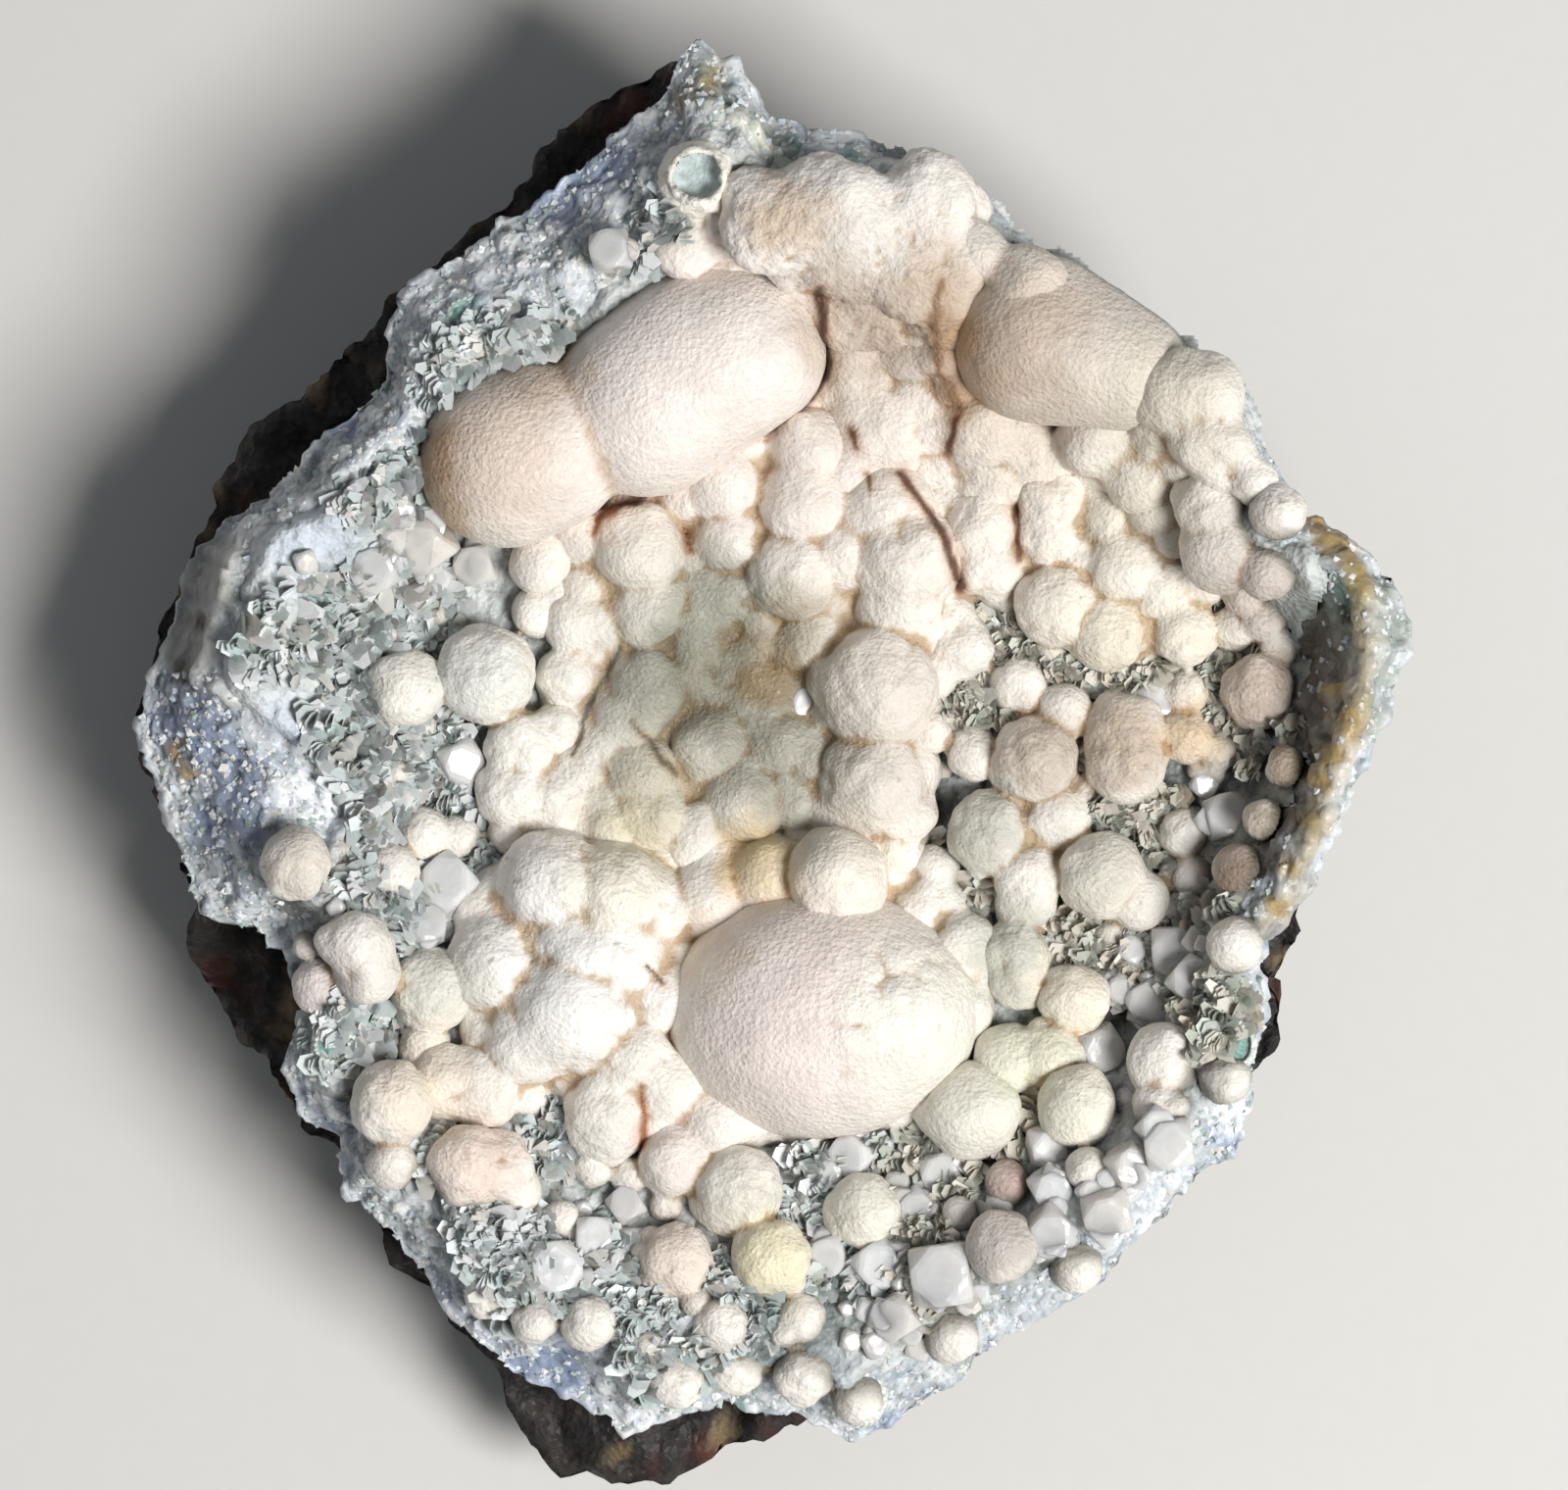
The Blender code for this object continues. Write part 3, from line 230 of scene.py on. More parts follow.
def liningTop(x, y):  # broken edge, up to the crest, down the wall, dished floor
    radius = np.hypot(x, y)
    direction = np.arctan2(y, x)
    inside = edgeReach(liningEdge, direction) - radius
    edge, crestWidth, crest, foot = [byDirection(rimRows, k, direction) for k in (1, 2, 3, 4)]
    floor = bowl["floor"] + bowl["dish"] * (radius / 50.0) ** 2
    rise = smoothStep(inside / crestWidth)
    fall = smoothStep((inside - crestWidth) / (foot - crestWidth))
    return edge + (crest - edge) * rise + (floor - crest) * fall


def liningUnderside(x, y):
    radius = np.hypot(x, y)
    direction = np.arctan2(y, x)
    foot = byDirection(rimRows, 4, direction)
    outer = byDirection(rimRows, 1, direction) - byDirection(rimRows, 5, direction)
    inner = bowl["floor"] - bowl["floorThickness"]
    return inner + (outer - inner) * smoothStep((radius - edgeReach(liningEdge, direction) + foot) / foot)


def druseHeight(x, y):
    return liningTop(x, y) + bowl["druse"]


# Random fields over points, each the same on every run

def latticeValue(cell, seed):
    mixed = (cell[:, 0] * 73856093) ^ (cell[:, 1] * 19349663) ^ (cell[:, 2] * 83492791) ^ (seed * 2654435761)
    mixed = (mixed ^ (mixed >> 13)) * 1274126177 & 0xFFFFFFFF
    mixed = (mixed ^ (mixed >> 16)) * 2246822519 & 0xFFFFFFFF
    return ((mixed ^ (mixed >> 15)) & 0xFFFF) / 65535.0


def lumps(points, size, seed):  # smooth, -1 to 1, about one lump to each size
    place = points / size
    cell = np.floor(place).astype(np.int64)
    part = smoothStep(place - cell)
    total = np.zeros(len(points))
    for corner in np.ndindex(2, 2, 2):
        weight = np.prod(np.where(np.array(corner) == 1, part, 1.0 - part), axis=1)
        total += weight * latticeValue(cell + np.array(corner), seed)
    return 2.0 * total - 1.0


def roughness(points, size, seed, layers=3):  # lumps on lumps
    total = np.zeros(len(points))
    for layer in range(layers):
        total += lumps(points, size / 2.03 ** layer, seed + 17 * layer) / 1.9 ** layer
    return total


def chips(points, size, seed):  # distance to the nearest scattered middle, and that chip's own value
    place = points / size
    cell = np.floor(place).astype(np.int64)
    nearest = np.full(len(points), 9.0)
    second = np.full(len(points), 9.0)
    own = np.zeros(len(points))
    for step in np.ndindex(3, 3, 3):
        other = cell + np.array(step) - 1
        middle = other + np.column_stack([latticeValue(other, seed + k) for k in (1, 2, 3)])
        distance = np.linalg.norm(place - middle, axis=1)
        closer = distance < nearest
        second = np.where(closer, nearest, np.minimum(second, distance))
        own = np.where(closer, latticeValue(other, seed + 4), own)
        nearest = np.where(closer, distance, nearest)
    return nearest, second - nearest, own


def lineDistance(x, y, line):  # distance in plan to a broken line
    best = np.full(len(x), 1e9)
    for (ax, ay), (bx, by) in zip(line, line[1:]):
        dx, dy = bx - ax, by - ay
        t = np.clip(((x - ax) * dx + (y - ay) * dy) / (dx * dx + dy * dy), 0.0, 1.0)
        best = np.minimum(best, np.hypot(x - ax - t * dx, y - ay - t * dy))
    return best


# Meshes from arrays

def linear(hexColor):
    values = np.array([int(hexColor[k:k + 2], 16) for k in (1, 3, 5)]) / 255.0
    return np.where(values <= 0.04045, values / 12.92, ((values + 0.055) / 1.055) ** 2.4)


def fillMesh(mesh, points, faces):  # faces all with the same number of corners
    corners = faces.shape[1]
    mesh.vertices.add(len(points))
    mesh.vertices.foreach_set("co", (np.asarray(points) * mm).ravel())
    mesh.loops.add(faces.size)
    mesh.loops.foreach_set("vertex_index", faces.ravel().astype(np.int32))
    mesh.polygons.add(len(faces))
    mesh.polygons.foreach_set("loop_start", np.arange(0, faces.size, corners, dtype=np.int32))
    mesh.update(calc_edges=True)


def newObject(name, points, faces, material, smooth=True):
    mesh = bpy.data.meshes.new(name)
    if isinstance(faces, np.ndarray):
        fillMesh(mesh, points, faces)
    else:
        mesh.from_pydata((np.asarray(points) * mm).tolist(), [], faces)
    mesh.materials.append(material)
    if smooth:
        mesh.shade_smooth()
    else:
        mesh.shade_flat()
    obj = bpy.data.objects.new(name, mesh)
    bpy.context.scene.collection.objects.link(obj)
    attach(obj, "root")
    return obj


def getPoints(mesh):
    points = np.empty(len(mesh.vertices) * 3)
    mesh.vertices.foreach_get("co", points)
    return points.reshape(-1, 3) / mm


def getNormals(mesh):
    normals = np.empty(len(mesh.vertices) * 3)
    mesh.vertex_normals.foreach_get("vector", normals)
    return normals.reshape(-1, 3)


def setPoints(mesh, points):
    mesh.vertices.foreach_set("co", (points * mm).ravel())
    mesh.update()


def setColors(mesh, colors):
    layer = mesh.color_attributes.new("tint", 'FLOAT_COLOR', 'POINT')
    full = np.column_stack([np.clip(colors, 0.0, 1.0), np.ones(len(colors))])
    layer.data.foreach_set("color", full.ravel())


def ringFaces(count, rows):  # quads between rings of equal count
    i = np.arange(count)
    j = (i + 1) % count
    starts = range(0, count * (rows - 1), count)
    return np.concatenate([np.column_stack([k + i, k + j, k + count + j, k + count + i]) for k in starts])


def dab(points, colors, spots, hexColor=None, wobble=0.9, fade=1.0):
    # soft-edged spots, each x, y, reach and, where no color is handed in, its own color
    x = points[:, 0] + wobble * lumps(points, 2.2, 5)
    y = points[:, 1] + wobble * lumps(points, 2.2, 6)
    for spot in spots:
        target = linear(spot[3] if hexColor is None else hexColor)
        far = ((x - spot[0]) ** 2 + (y - spot[1]) ** 2) / spot[2] ** 2
        near = far < 6.0
        weight = fade * np.exp(-far[near] ** 2)
        colors[near] += (target - colors[near]) * weight[:, None]


# Materials

def addNode(tree, kind, settings, links=()):
    node = tree.nodes.new(kind)
    for name, value in settings.items():
        if name in node.inputs:
            node.inputs[name].default_value = value
        else:
            setattr(node, name, value)
    for name, socket in dict(links).items():
        tree.links.new(socket, node.inputs[name])
    return node


def makeMaterial(name, finish):
    material = bpy.data.materials.new(name)
    material.use_nodes = True
    tree = material.node_tree
    tree.nodes.clear()
    place = addNode(tree, "ShaderNodeTexCoord", {}).outputs["Object"]
    tint = addNode(tree, "ShaderNodeAttribute", {"attribute_name": "tint"}).outputs["Color"]
    mottle = addNode(tree, "ShaderNodeTexNoise", {"Scale": 1000.0 / finish["mottleSize"], "Detail": 3.0},
                     {"Vector": place})
    shade = addNode(tree, "ShaderNodeMapRange",
                    {"To Min": 1.0 - finish["mottle"], "To Max": 1.0 + finish["mottle"]},
                    {"Value": mottle.outputs["Fac"]})
    color = addNode(tree, "ShaderNodeVectorMath", {"operation": 'SCALE'},
                    {"Vector": tint, "Scale": shade.outputs["Result"]})
    coarse = addNode(tree, "ShaderNodeTexVoronoi", {"Scale": 1000.0 / finish["grainSize"]},
                     {"Vector": place})
    fine = addNode(tree, "ShaderNodeTexNoise", {"Scale": 1000.0 / finish["fineSize"], "Detail": 2.0},
                   {"Vector": place})
    grainBump = addNode(tree, "ShaderNodeBump", {"Strength": 1.0, "Distance": finish["grainDepth"] * mm},
                        {"Height": coarse.outputs["Distance"]})
    bump = addNode(tree, "ShaderNodeBump", {"Strength": 1.0, "Distance": finish["fineDepth"] * mm},
                   {"Height": fine.outputs["Fac"], "Normal": grainBump.outputs["Normal"]})
    polish = addNode(tree, "ShaderNodeMapRange",
                     {"To Min": finish["roughness"][0], "To Max": finish["roughness"][1]},
                     {"Value": coarse.outputs["Color"]})
    shader = addNode(tree, "ShaderNodeBsdfPrincipled",
                     {"IOR": finish["ior"], "Metallic": 0.0,
                      "Subsurface Weight": finish.get("glow", 0.0),
                      "Subsurface Radius": finish.get("glowReach", (1.0, 0.8, 0.6)),
                      "Subsurface Scale": 1.0 * mm,
                      "Transmission Weight": finish.get("clear", 0.0)},
                     {"Base Color": color.outputs["Vector"], "Roughness": polish.outputs["Result"],
                      "Normal": bump.outputs["Normal"]})
    links = {"Surface": shader.outputs["BSDF"]}
    if "absorb" in finish:
        haze = addNode(tree, "ShaderNodeVolumeAbsorption",
                       {"Color": (*linear(finish["absorb"]), 1.0), "Density": finish["absorbDensity"]})
        links["Volume"] = haze.outputs["Volume"]
    addNode(tree, "ShaderNodeOutputMaterial", {}, links)
    return material


materials = {
    # Basalt, freshly broken: granular and dull, so it stays near black with small glints
    "brokenBasalt": makeMaterial("brokenBasalt", {
        "mottleSize": 2.5, "mottle": 0.35, "grainSize": 0.9, "grainDepth": 0.25, "fineSize": 0.4,
        "fineDepth": 0.12, "roughness": (0.55, 0.9), "ior": 1.6}),
    # Chalcedony, broken across its bands: waxy, with light carried a few millimetres inside
    "waxyChalcedony": makeMaterial("waxyChalcedony", {
        "mottleSize": 1.8, "mottle": 0.12, "grainSize": 0.8, "grainDepth": 0.12, "fineSize": 0.35,
        "fineDepth": 0.06, "roughness": (0.28, 0.55), "ior": 1.54, "glow": 0.35,
        "glowReach": (1.2, 1.3, 1.5)}),
    # Zeolite globules, grown as velvet of needle ends: matt, warm in the depth, fine sparkle
    "velvetGlobules": makeMaterial("velvetGlobules", {
        "mottleSize": 1.1, "mottle": 0.09, "grainSize": 0.6, "grainDepth": 0.13, "fineSize": 0.3,
        "fineDepth": 0.16, "roughness": (0.30, 0.8), "ior": 1.48, "glow": 0.25,
        "glowReach": (1.05, 1.0, 0.95)}),
    # Druse, a crust of crystal points too small to see one by one: rough and bright
    "whiteDruse": makeMaterial("whiteDruse", {
        "mottleSize": 1.4, "mottle": 0.16, "grainSize": 0.7, "grainDepth": 0.22, "fineSize": 0.35,
        "fineDepth": 0.08, "roughness": (0.35, 0.75), "ior": 1.5, "glow": 0.15}),
    # Heulandite blades, grown thin and curved: pearly on their flat sides
    "pearlyBlades": makeMaterial("pearlyBlades", {
        "mottleSize": 1.2, "mottle": 0.10, "grainSize": 0.9, "grainDepth": 0.03, "fineSize": 0.4,
        "fineDepth": 0.02, "roughness": (0.25, 0.45), "ior": 1.5, "glow": 0.1}),
    # Apophyllite blocks, grown clear with a milky core: glassy faces, light seen through
    "milkyCrystal": makeMaterial("milkyCrystal", {
        "mottleSize": 1.6, "mottle": 0.14, "grainSize": 1.4, "grainDepth": 0.06, "fineSize": 0.5,
        "fineDepth": 0.015, "roughness": (0.12, 0.3), "ior": 1.53, "clear": 0.22, "glow": 0.6,
        "glowReach": (1.6, 1.5, 1.4), "absorb": "#E6E1D8", "absorbDensity": 60.0}),
}
print("materials ready")


# The basalt

basalt = {
    "directions": 560, "sideRows": 42, "ledgeRows": 24, "baseShare": 0.74, "hold": 0.9,
    "shoulderDrop": 0.8, "shoulderSlope": 0.9, "contactGap": 0.35,
    "coarse": (8.0, 1.2), "middle": (3.6, 0.8), "chip": (2.6, 0.8),   # size and depth
    "color": "#2A221D", "dark": "#120E0C", "rust": "#4E2416", "ochre": "#8A7450",
    "rustSpots": [(-14.2, 67.9, 1.6), (-16.5, 66.5, 1.2), (-52.8, -10.2, 1.5), (-57.4, -22.0, 2.0),
                  (53.4, -23.6, 1.4), (-6.0, -71.0, 2.2), (-50.2, -34.0, 1.8)],
    "tanSpots": [(-48.8, -21.0, 1.4), (-49.4, -24.5, 1.5), (-50.2, -27.6, 1.2), (-31.2, 55.6, 0.9),
                 (-36.0, 51.4, 1.0), (-59.2, 24.2, 1.4), (-57.2, 27.8, 1.2), (52.6, -20.0, 1.3),
                 (-19.5, 66.8, 0.9), (-61.3, 17.6, 1.2), (-4.5, -69.6, 1.5), (-15.2, -71.2, 1.2)],
}


def rockReach(direction, rock, height, share):  # held in by the flat breaks in its sides
    reach = rock * (basalt["baseShare"] + (1.0 - basalt["baseShare"]) * np.sqrt(share))
    for facing, overhang, depth in rockBreaks:
        toward = np.cos(direction - math.radians(facing))
        plane = edgeReach(basaltEdge, math.radians(facing)) - depth
        plane = plane + (height - 0.5 * bowl["floor"]) * math.tan(math.radians(overhang))
        limit = np.where(toward > 0.5, plane / np.maximum(toward, 0.5), np.inf)
        reach = np.minimum(reach, limit)
    least = basalt["baseShare"] + (1.0 - basalt["baseShare"]) * basalt["hold"] * share
    return np.maximum(reach, rock * least)


def ringAt(direction, radius, height):
    level = height + 0.0 * direction
    return np.column_stack([radius * np.cos(direction), radius * np.sin(direction), level])


def underLining(direction, radius):  # just clear of the lining's underside
    return liningUnderside(radius * np.cos(direction), radius * np.sin(direction)) - basalt["contactGap"]


def makeBasalt():
    direction = np.linspace(-math.pi, math.pi, basalt["directions"], endpoint=False)
    reach = edgeReach(liningEdge, direction)
    rock = edgeReach(basaltEdge, direction)
    foot = byDirection(rimRows, 4, direction)
    tucked = reach - bowl["tucked"] * foot
    underEdge = byDirection(rimRows, 1, direction) - byDirection(rimRows, 5, direction)
    tuckedHeight = underLining(direction, tucked)
    along = np.clip((rock - tucked) / (reach - tucked), 0.0, 1.0)
    shoulder = tuckedHeight + (underEdge - tuckedHeight) * along - basalt["shoulderDrop"]
    shoulder = shoulder - basalt["shoulderSlope"] * np.maximum(rock - reach, 0.0)
    baseShares = (0.001, 0.25, 0.5, 0.7, 0.85, 0.95)
    rows = [ringAt(direction, rock * basalt["baseShare"] * share, 0.0) for share in baseShares]
    for share in np.linspace(0.0, 1.0, basalt["sideRows"]):
        height = shoulder * share
        across = rock if share == 1.0 else rockReach(direction, rock, height, share)
        rows.append(ringAt(direction, across, height))
    for share in np.linspace(0.0, 1.0, basalt["ledgeRows"])[1:]:
        height = shoulder + (tuckedHeight - shoulder) * share
        rows.append(ringAt(direction, rock + (tucked - rock) * share, height))
    for share in (0.75, 0.4, 0.001):
        radius = tucked * share
        rows.append(ringAt(direction, radius, underLining(direction, radius)))
    points = np.concatenate(rows)
    obj = newObject("basalt_rock", points, ringFaces(basalt["directions"], len(rows)),
                    materials["brokenBasalt"])
    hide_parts("basalt_matrix")
    normals = getNormals(obj.data)
    nearest, _, own = chips(points, basalt["chip"][0], 31)
    push = basalt["coarse"][1] * roughness(points, basalt["coarse"][0], 32)
    push += basalt["middle"][1] * roughness(points, basalt["middle"][0], 33)
    push += basalt["chip"][1] * (own - 0.3 - 0.6 * nearest)
    radius = np.hypot(points[:, 0], points[:, 1])
    cover = edgeReach(liningEdge, np.arctan2(points[:, 1], points[:, 0])) - radius
    bare = np.where(points[:, 2] > 18.0, smoothStep(1.0 - cover / 1.5), 1.0)
    free = smoothStep(points[:, 2] / 2.5) * bare
    moved = points + normals * (push * free)[:, None]
    moved[:, 2] = np.maximum(moved[:, 2], 0.0)
    setPoints(obj.data, moved)
    colors = np.tile(linear(basalt["color"]), (len(points), 1))
    blend = smoothStep(0.5 + roughness(points, 5.0, 41))[:, None]
    colors += (linear(basalt["dark"]) - colors) * blend
    speck = (smoothStep((own - 0.93) / 0.05) * smoothStep(0.2 + 1.5 * lumps(points, 9.0, 42)))[:, None]
    colors += (linear(basalt["ochre"]) - colors) * 0.4 * speck
    rusty = (smoothStep((lumps(points, 3.0, 43) - 0.45) / 0.3))[:, None]
    colors += (linear(basalt["rust"]) - colors) * 0.4 * rusty
    dab(points, colors, basalt["rustSpots"], basalt["rust"], fade=0.8)
    dab(points, colors, basalt["tanSpots"], basalt["ochre"], fade=0.6)
    setColors(obj.data, colors)
    print("basalt:", len(points), "points")


makeBasalt()


# The chalcedony lining

lining = {
    "directions": 780, "topInsets": (0.0, 6.0, 30, 24.0, 50), "sideRows": 16, "sideDent": 0.9,
    "edgeWander": (2.6, 0.55), "edgeNick": (1.0, 0.25), "crustChip": (2.1, 0.75),   # size and depth
    "smallChip": (0.9, 0.30), "swell": (5.0, 0.6),
    "color": "#C3C8CC", "crust": "#E9EAE8", "translucent": "#93A0B0", "contact": "#87948C",
    "chipTones": ["#6B7873", "#A3B0AE", "#AEBAC8", "#C9D0D6", "#DDE0E1", "#EFF0EE"],
    "paint": [   # spots painted in this order: name, color, how strong
        ("greySmooth", "#8B8A86", 0.85), ("blueGrey", "#929FBA", 0.8), ("white", "#EDEFF0", 0.85),
        ("teal", "#6F968E", 0.8), ("brown", "#42392A", 0.9), ("ochre", "#B3965F", 0.85),
        ("greenish", "#9AA294", 0.7)],
    # seen from above: x, y, reach
    "greySmooth": [(-57.0, 21.0, 3.6), (-58.4, 17.0, 3.4), (-60.0, 12.5, 3.2), (-57.5, 12.0, 2.8)],
    "blueGrey": [(-24.0, -58.5, 4.0), (-18.5, -61.5, 4.0), (-28.0, -55.0, 3.0), (-30.0, -50.0, 3.0),
                 (-60.0, 4.5, 4.0), (-57.0, 1.5, 3.5), (-53.5, -1.5, 4.0), (-52.5, -5.5, 3.2),
                 (-56.5, -6.5, 2.6), (-19.5, 60.0, 3.0), (-15.5, 61.5, 2.6), (-22.5, 57.0, 2.4),
                 (-24.5, -62.0, 2.6), (-20.5, -62.5, 2.4), (-32.5, -53.5, 1.8), (-44.2, -37.0, 1.6),
                 (15.0, 60.8, 1.8), (21.0, 56.6, 1.8), (50.4, -26.5, 1.5), (51.6, -17.5, 1.8),
                 (46.8, -38.8, 1.8), (32.0, -53.4, 1.6), (12.6, -67.2, 1.6), (-36.0, 30.2, 2.2),
                 (-43.0, 34.6, 2.0)],
    "white": [(-61.0, -1.5, 1.6), (-60.4, -4.5, 1.8), (-48.0, -4.0, 4.0), (-44.5, -3.0, 4.0),
              (-41.0, -6.0, 3.4), (-34.0, 46.8, 2.6), (-30.0, 50.5, 2.4), (-14.0, -65.6, 2.6),
              (-16.8, -63.4, 2.2), (-36.0, -46.5, 2.2), (-37.5, -44.0, 2.0), (-44.0, -18.0, 2.0),
              (57.4, 3.6, 1.6), (55.2, -3.4, 1.4), (53.2, -9.0, 1.4), (6.5, -68.0, 2.0),
              (18.0, -62.5, 1.8), (39.0, -46.2, 2.2), (47.2, -35.8, 2.0), (36.0, 45.6, 1.4),
              (44.0, 41.0, 1.2)],
    "teal": [(-39.4, 26.6, 1.8), (-30.8, 45.6, 1.9), (-49.4, 10.4, 1.2), (-44.4, -28.6, 2.0),
             (59.0, 17.5, 2.6), (56.8, 14.6, 2.4), (58.2, 11.0, 1.8), (8.5, 61.9, 1.3),
             (11.4, 59.9, 1.3), (2.5, 62.8, 1.4), (47.2, -28.6, 2.2), (48.4, -31.0, 1.6),
             (-46.9, -24.8, 1.2), (9.6, -66.3, 1.8), (-2.8, -66.0, 1.0)],
    "ochre": [(54.4, 26.0, 1.3), (55.6, 24.4, 1.3), (57.0, 22.6, 1.4), (58.6, 20.4, 1.3),
              (60.0, 18.2, 1.2), (57.8, 7.4, 1.2), (58.6, 4.0, 1.2), (57.2, 1.0, 1.2),
              (56.0, -2.2, 1.1), (54.6, -6.0, 1.1), (53.2, -10.4, 1.1), (51.8, -14.2, 1.2),
              (-8.6, 68.0, 1.6), (-5.4, 69.6, 1.6), (-60.2, 1.2, 1.2), (-59.0, -0.6, 1.0)],
    "brown": [(56.4, 9.4, 3.2), (56.0, 5.6, 3.2), (56.4, 13.0, 3.0), (54.6, 2.0, 3.0),
              (55.0, 17.0, 2.4), (-50.8, 5.4, 2.2), (-58.0, 14.8, 1.2), (-59.6, 9.4, 1.6),
              (54.0, -1.4, 2.6), (52.4, -5.0, 2.4), (50.6, -9.6, 2.2)],
    "greenish": [(63.6, 13.6, 2.2), (62.8, 9.4, 2.0), (61.4, 5.2, 1.6), (62.4, 17.6, 1.8),
                 (-6.4, 71.4, 1.8), (-4.4, 67.0, 2.0), (-2.0, 64.8, 2.0), (19.6, -60.0, 2.2),
                 (0.5, 63.2, 1.8), (13.0, 61.2, 1.6)],
}


ridges = [   # raised crests of the crust: height, width, color, route in plan
    (1.3, 1.3, "#B39A63", [(53.4, 27.0), (55.3, 25.2), (58.6, 21.0), (60.0, 17.6), (60.4, 13.0),
                           (59.4, 4.4), (57.2, -1.6), (53.8, -11.0), (50.6, -17.0)]),
    (1.3, 0.8, "#E9E6DC", [(-52.7, 24.4), (-55.7, 13.9), (-57.5, 8.9), (-54.2, 6.4)]),
    (0.9, 0.7, "#EEF0EE", [(-52.0, 24.0), (-45.0, 27.5), (-39.0, 33.0)]),
    (0.8, 0.6, "#E6E2CF", [(-8.2, 67.9), (-3.0, 65.4), (1.8, 60.9)]),
    (0.8, 0.8, "#DCE3E8", [(51.0, -22.0), (49.0, -30.0), (46.0, -38.0), (38.0, -46.0), (28.0, -54.0),
                           (19.0, -61.0)]),
    (0.7, 0.7, "#E2E6E4", [(-46.0, -19.0), (-46.5, -30.0), (-42.0, -40.0), (-34.0, -50.0),
                           (-26.0, -60.0)]),
]


def ridgeShare(points, width, line):
    x = points[:, 0] + 0.5 * lumps(points, 2.4, 58)
    y = points[:, 1] + 0.5 * lumps(points, 2.4, 59)
    return np.exp(-(lineDistance(x, y, line) / width) ** 2) * (0.75 + 0.5 * lumps(points, 3.0, 57))


def makeLining():
    count = lining["directions"]
    direction = np.linspace(-math.pi, math.pi, count, endpoint=False)
    plain = edgeReach(liningEdge, direction)
    around = np.column_stack([60.0 * np.cos(direction), 60.0 * np.sin(direction), 0.0 * direction])
    reach = plain + lining["edgeWander"][1] * roughness(around, lining["edgeWander"][0], 51)
    reach = reach + lining["edgeNick"][1] * lumps(around, lining["edgeNick"][0], 52)
    edge = byDirection(rimRows, 1, direction)
    thickness = byDirection(rimRows, 5, direction)
    foot = byDirection(rimRows, 4, direction)
    rows = []
    below = (0.01 * plain, 0.4 * (plain - foot), plain - foot, plain - bowl["tucked"] * foot)
    for radius in below:
        height = liningUnderside(radius * np.cos(direction), radius * np.sin(direction))
        rows.append(ringAt(direction, radius, height))
    for share in np.linspace(0.0, 1.0, lining["sideRows"]):
        dent = lining["sideDent"] * (0.4 * (1.0 - share) + math.sin(math.pi * share))
        rows.append(ringAt(direction, reach - dent, edge - thickness * (1.0 - share)))
    start, middle, nearRows, end, farRows = lining["topInsets"]
    nearInsets, farInsets = np.linspace(start, middle, nearRows)[1:], np.linspace(middle, end, farRows)[1:]
    insets = np.concatenate([nearInsets, farInsets])
    for inset in insets:
        radius = reach - inset
        height = liningTop((plain - inset) * np.cos(direction), (plain - inset) * np.sin(direction))
        rows.append(ringAt(direction, radius, height))
    for share in (0.8, 0.5, 0.25, 0.001):
        radius = (plain - end) * share
        height = liningTop(radius * np.cos(direction), radius * np.sin(direction))
        rows.append(ringAt(direction, radius, height))
    points = np.concatenate(rows)
    obj = newObject("chalcedony_rim", points, ringFaces(count, len(rows)), materials["waxyChalcedony"])
    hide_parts("chalcedony_lining")
    normals = getNormals(obj.data)
    sideFirst = len(below) * count
    sideEnd = sideFirst + lining["sideRows"] * count
    onTop = np.arange(len(points)) >= sideEnd - count
    hidden = np.arange(len(points)) < sideFirst
    smooth = np.zeros(len(points))
    for x, y, size in lining["greySmooth"]:
        far = ((points[:, 0] - x) ** 2 + (points[:, 1] - y) ** 2) / size ** 2
        smooth = np.maximum(smooth, np.exp(-far ** 2))
    nearest, gap, own = chips(points, lining["crustChip"][0], 61)
    small, _, smallOwn = chips(points, lining["smallChip"][0], 66)
    push = lining["swell"][1] * roughness(points, lining["swell"][0], 62)
    push += (1.0 - smooth) * lining["crustChip"][1] * (own - 0.3 - 0.7 * nearest)
    push += (1.0 - 0.9 * smooth) * lining["smallChip"][1] * (smallOwn - 0.5 * small)
    push = np.where(onTop, push, 0.6 * push)
    shares = [ridgeShare(points, width, line) * onTop for _, width, _, line in ridges]
    push += sum(ridge[0] * share for ridge, share in zip(ridges, shares))
    push[hidden] = 0.0
    setPoints(obj.data, points + normals * push[:, None])
    ground = linear(lining["color"])
    colors = np.tile(ground, (len(points), 1))
    bright = smoothStep(0.45 + roughness(points, 3.0, 63)) * np.where(onTop, 0.75, 0.25)
    colors += (linear(lining["crust"]) - colors) * bright[:, None]
    clear = smoothStep((roughness(points, 7.0, 64) - 0.1) / 0.5)[:, None] * 0.5
    colors += (linear(lining["translucent"]) - colors) * clear
    chipTones = np.array([linear(tone) for tone in lining["chipTones"]])
    for value, strength, onSide in ((own, 0.42, 0.4), (smallOwn, 0.25, 0.3)):
        pick = chipTones[np.minimum((value * 1.05 * len(chipTones)).astype(int), len(chipTones) - 1)]
        colors += (pick - colors) * (strength * (1.0 - smooth) * np.where(onTop, 1.0, onSide))[:, None]
    for name, hexColor, fade in lining["paint"]:
        dab(points, colors, lining[name], hexColor, fade=fade)
    for ridge, share in zip(ridges, shares):
        colors += (linear(ridge[2]) - colors) * (0.85 * np.clip(share, 0.0, 1.0))[:, None]
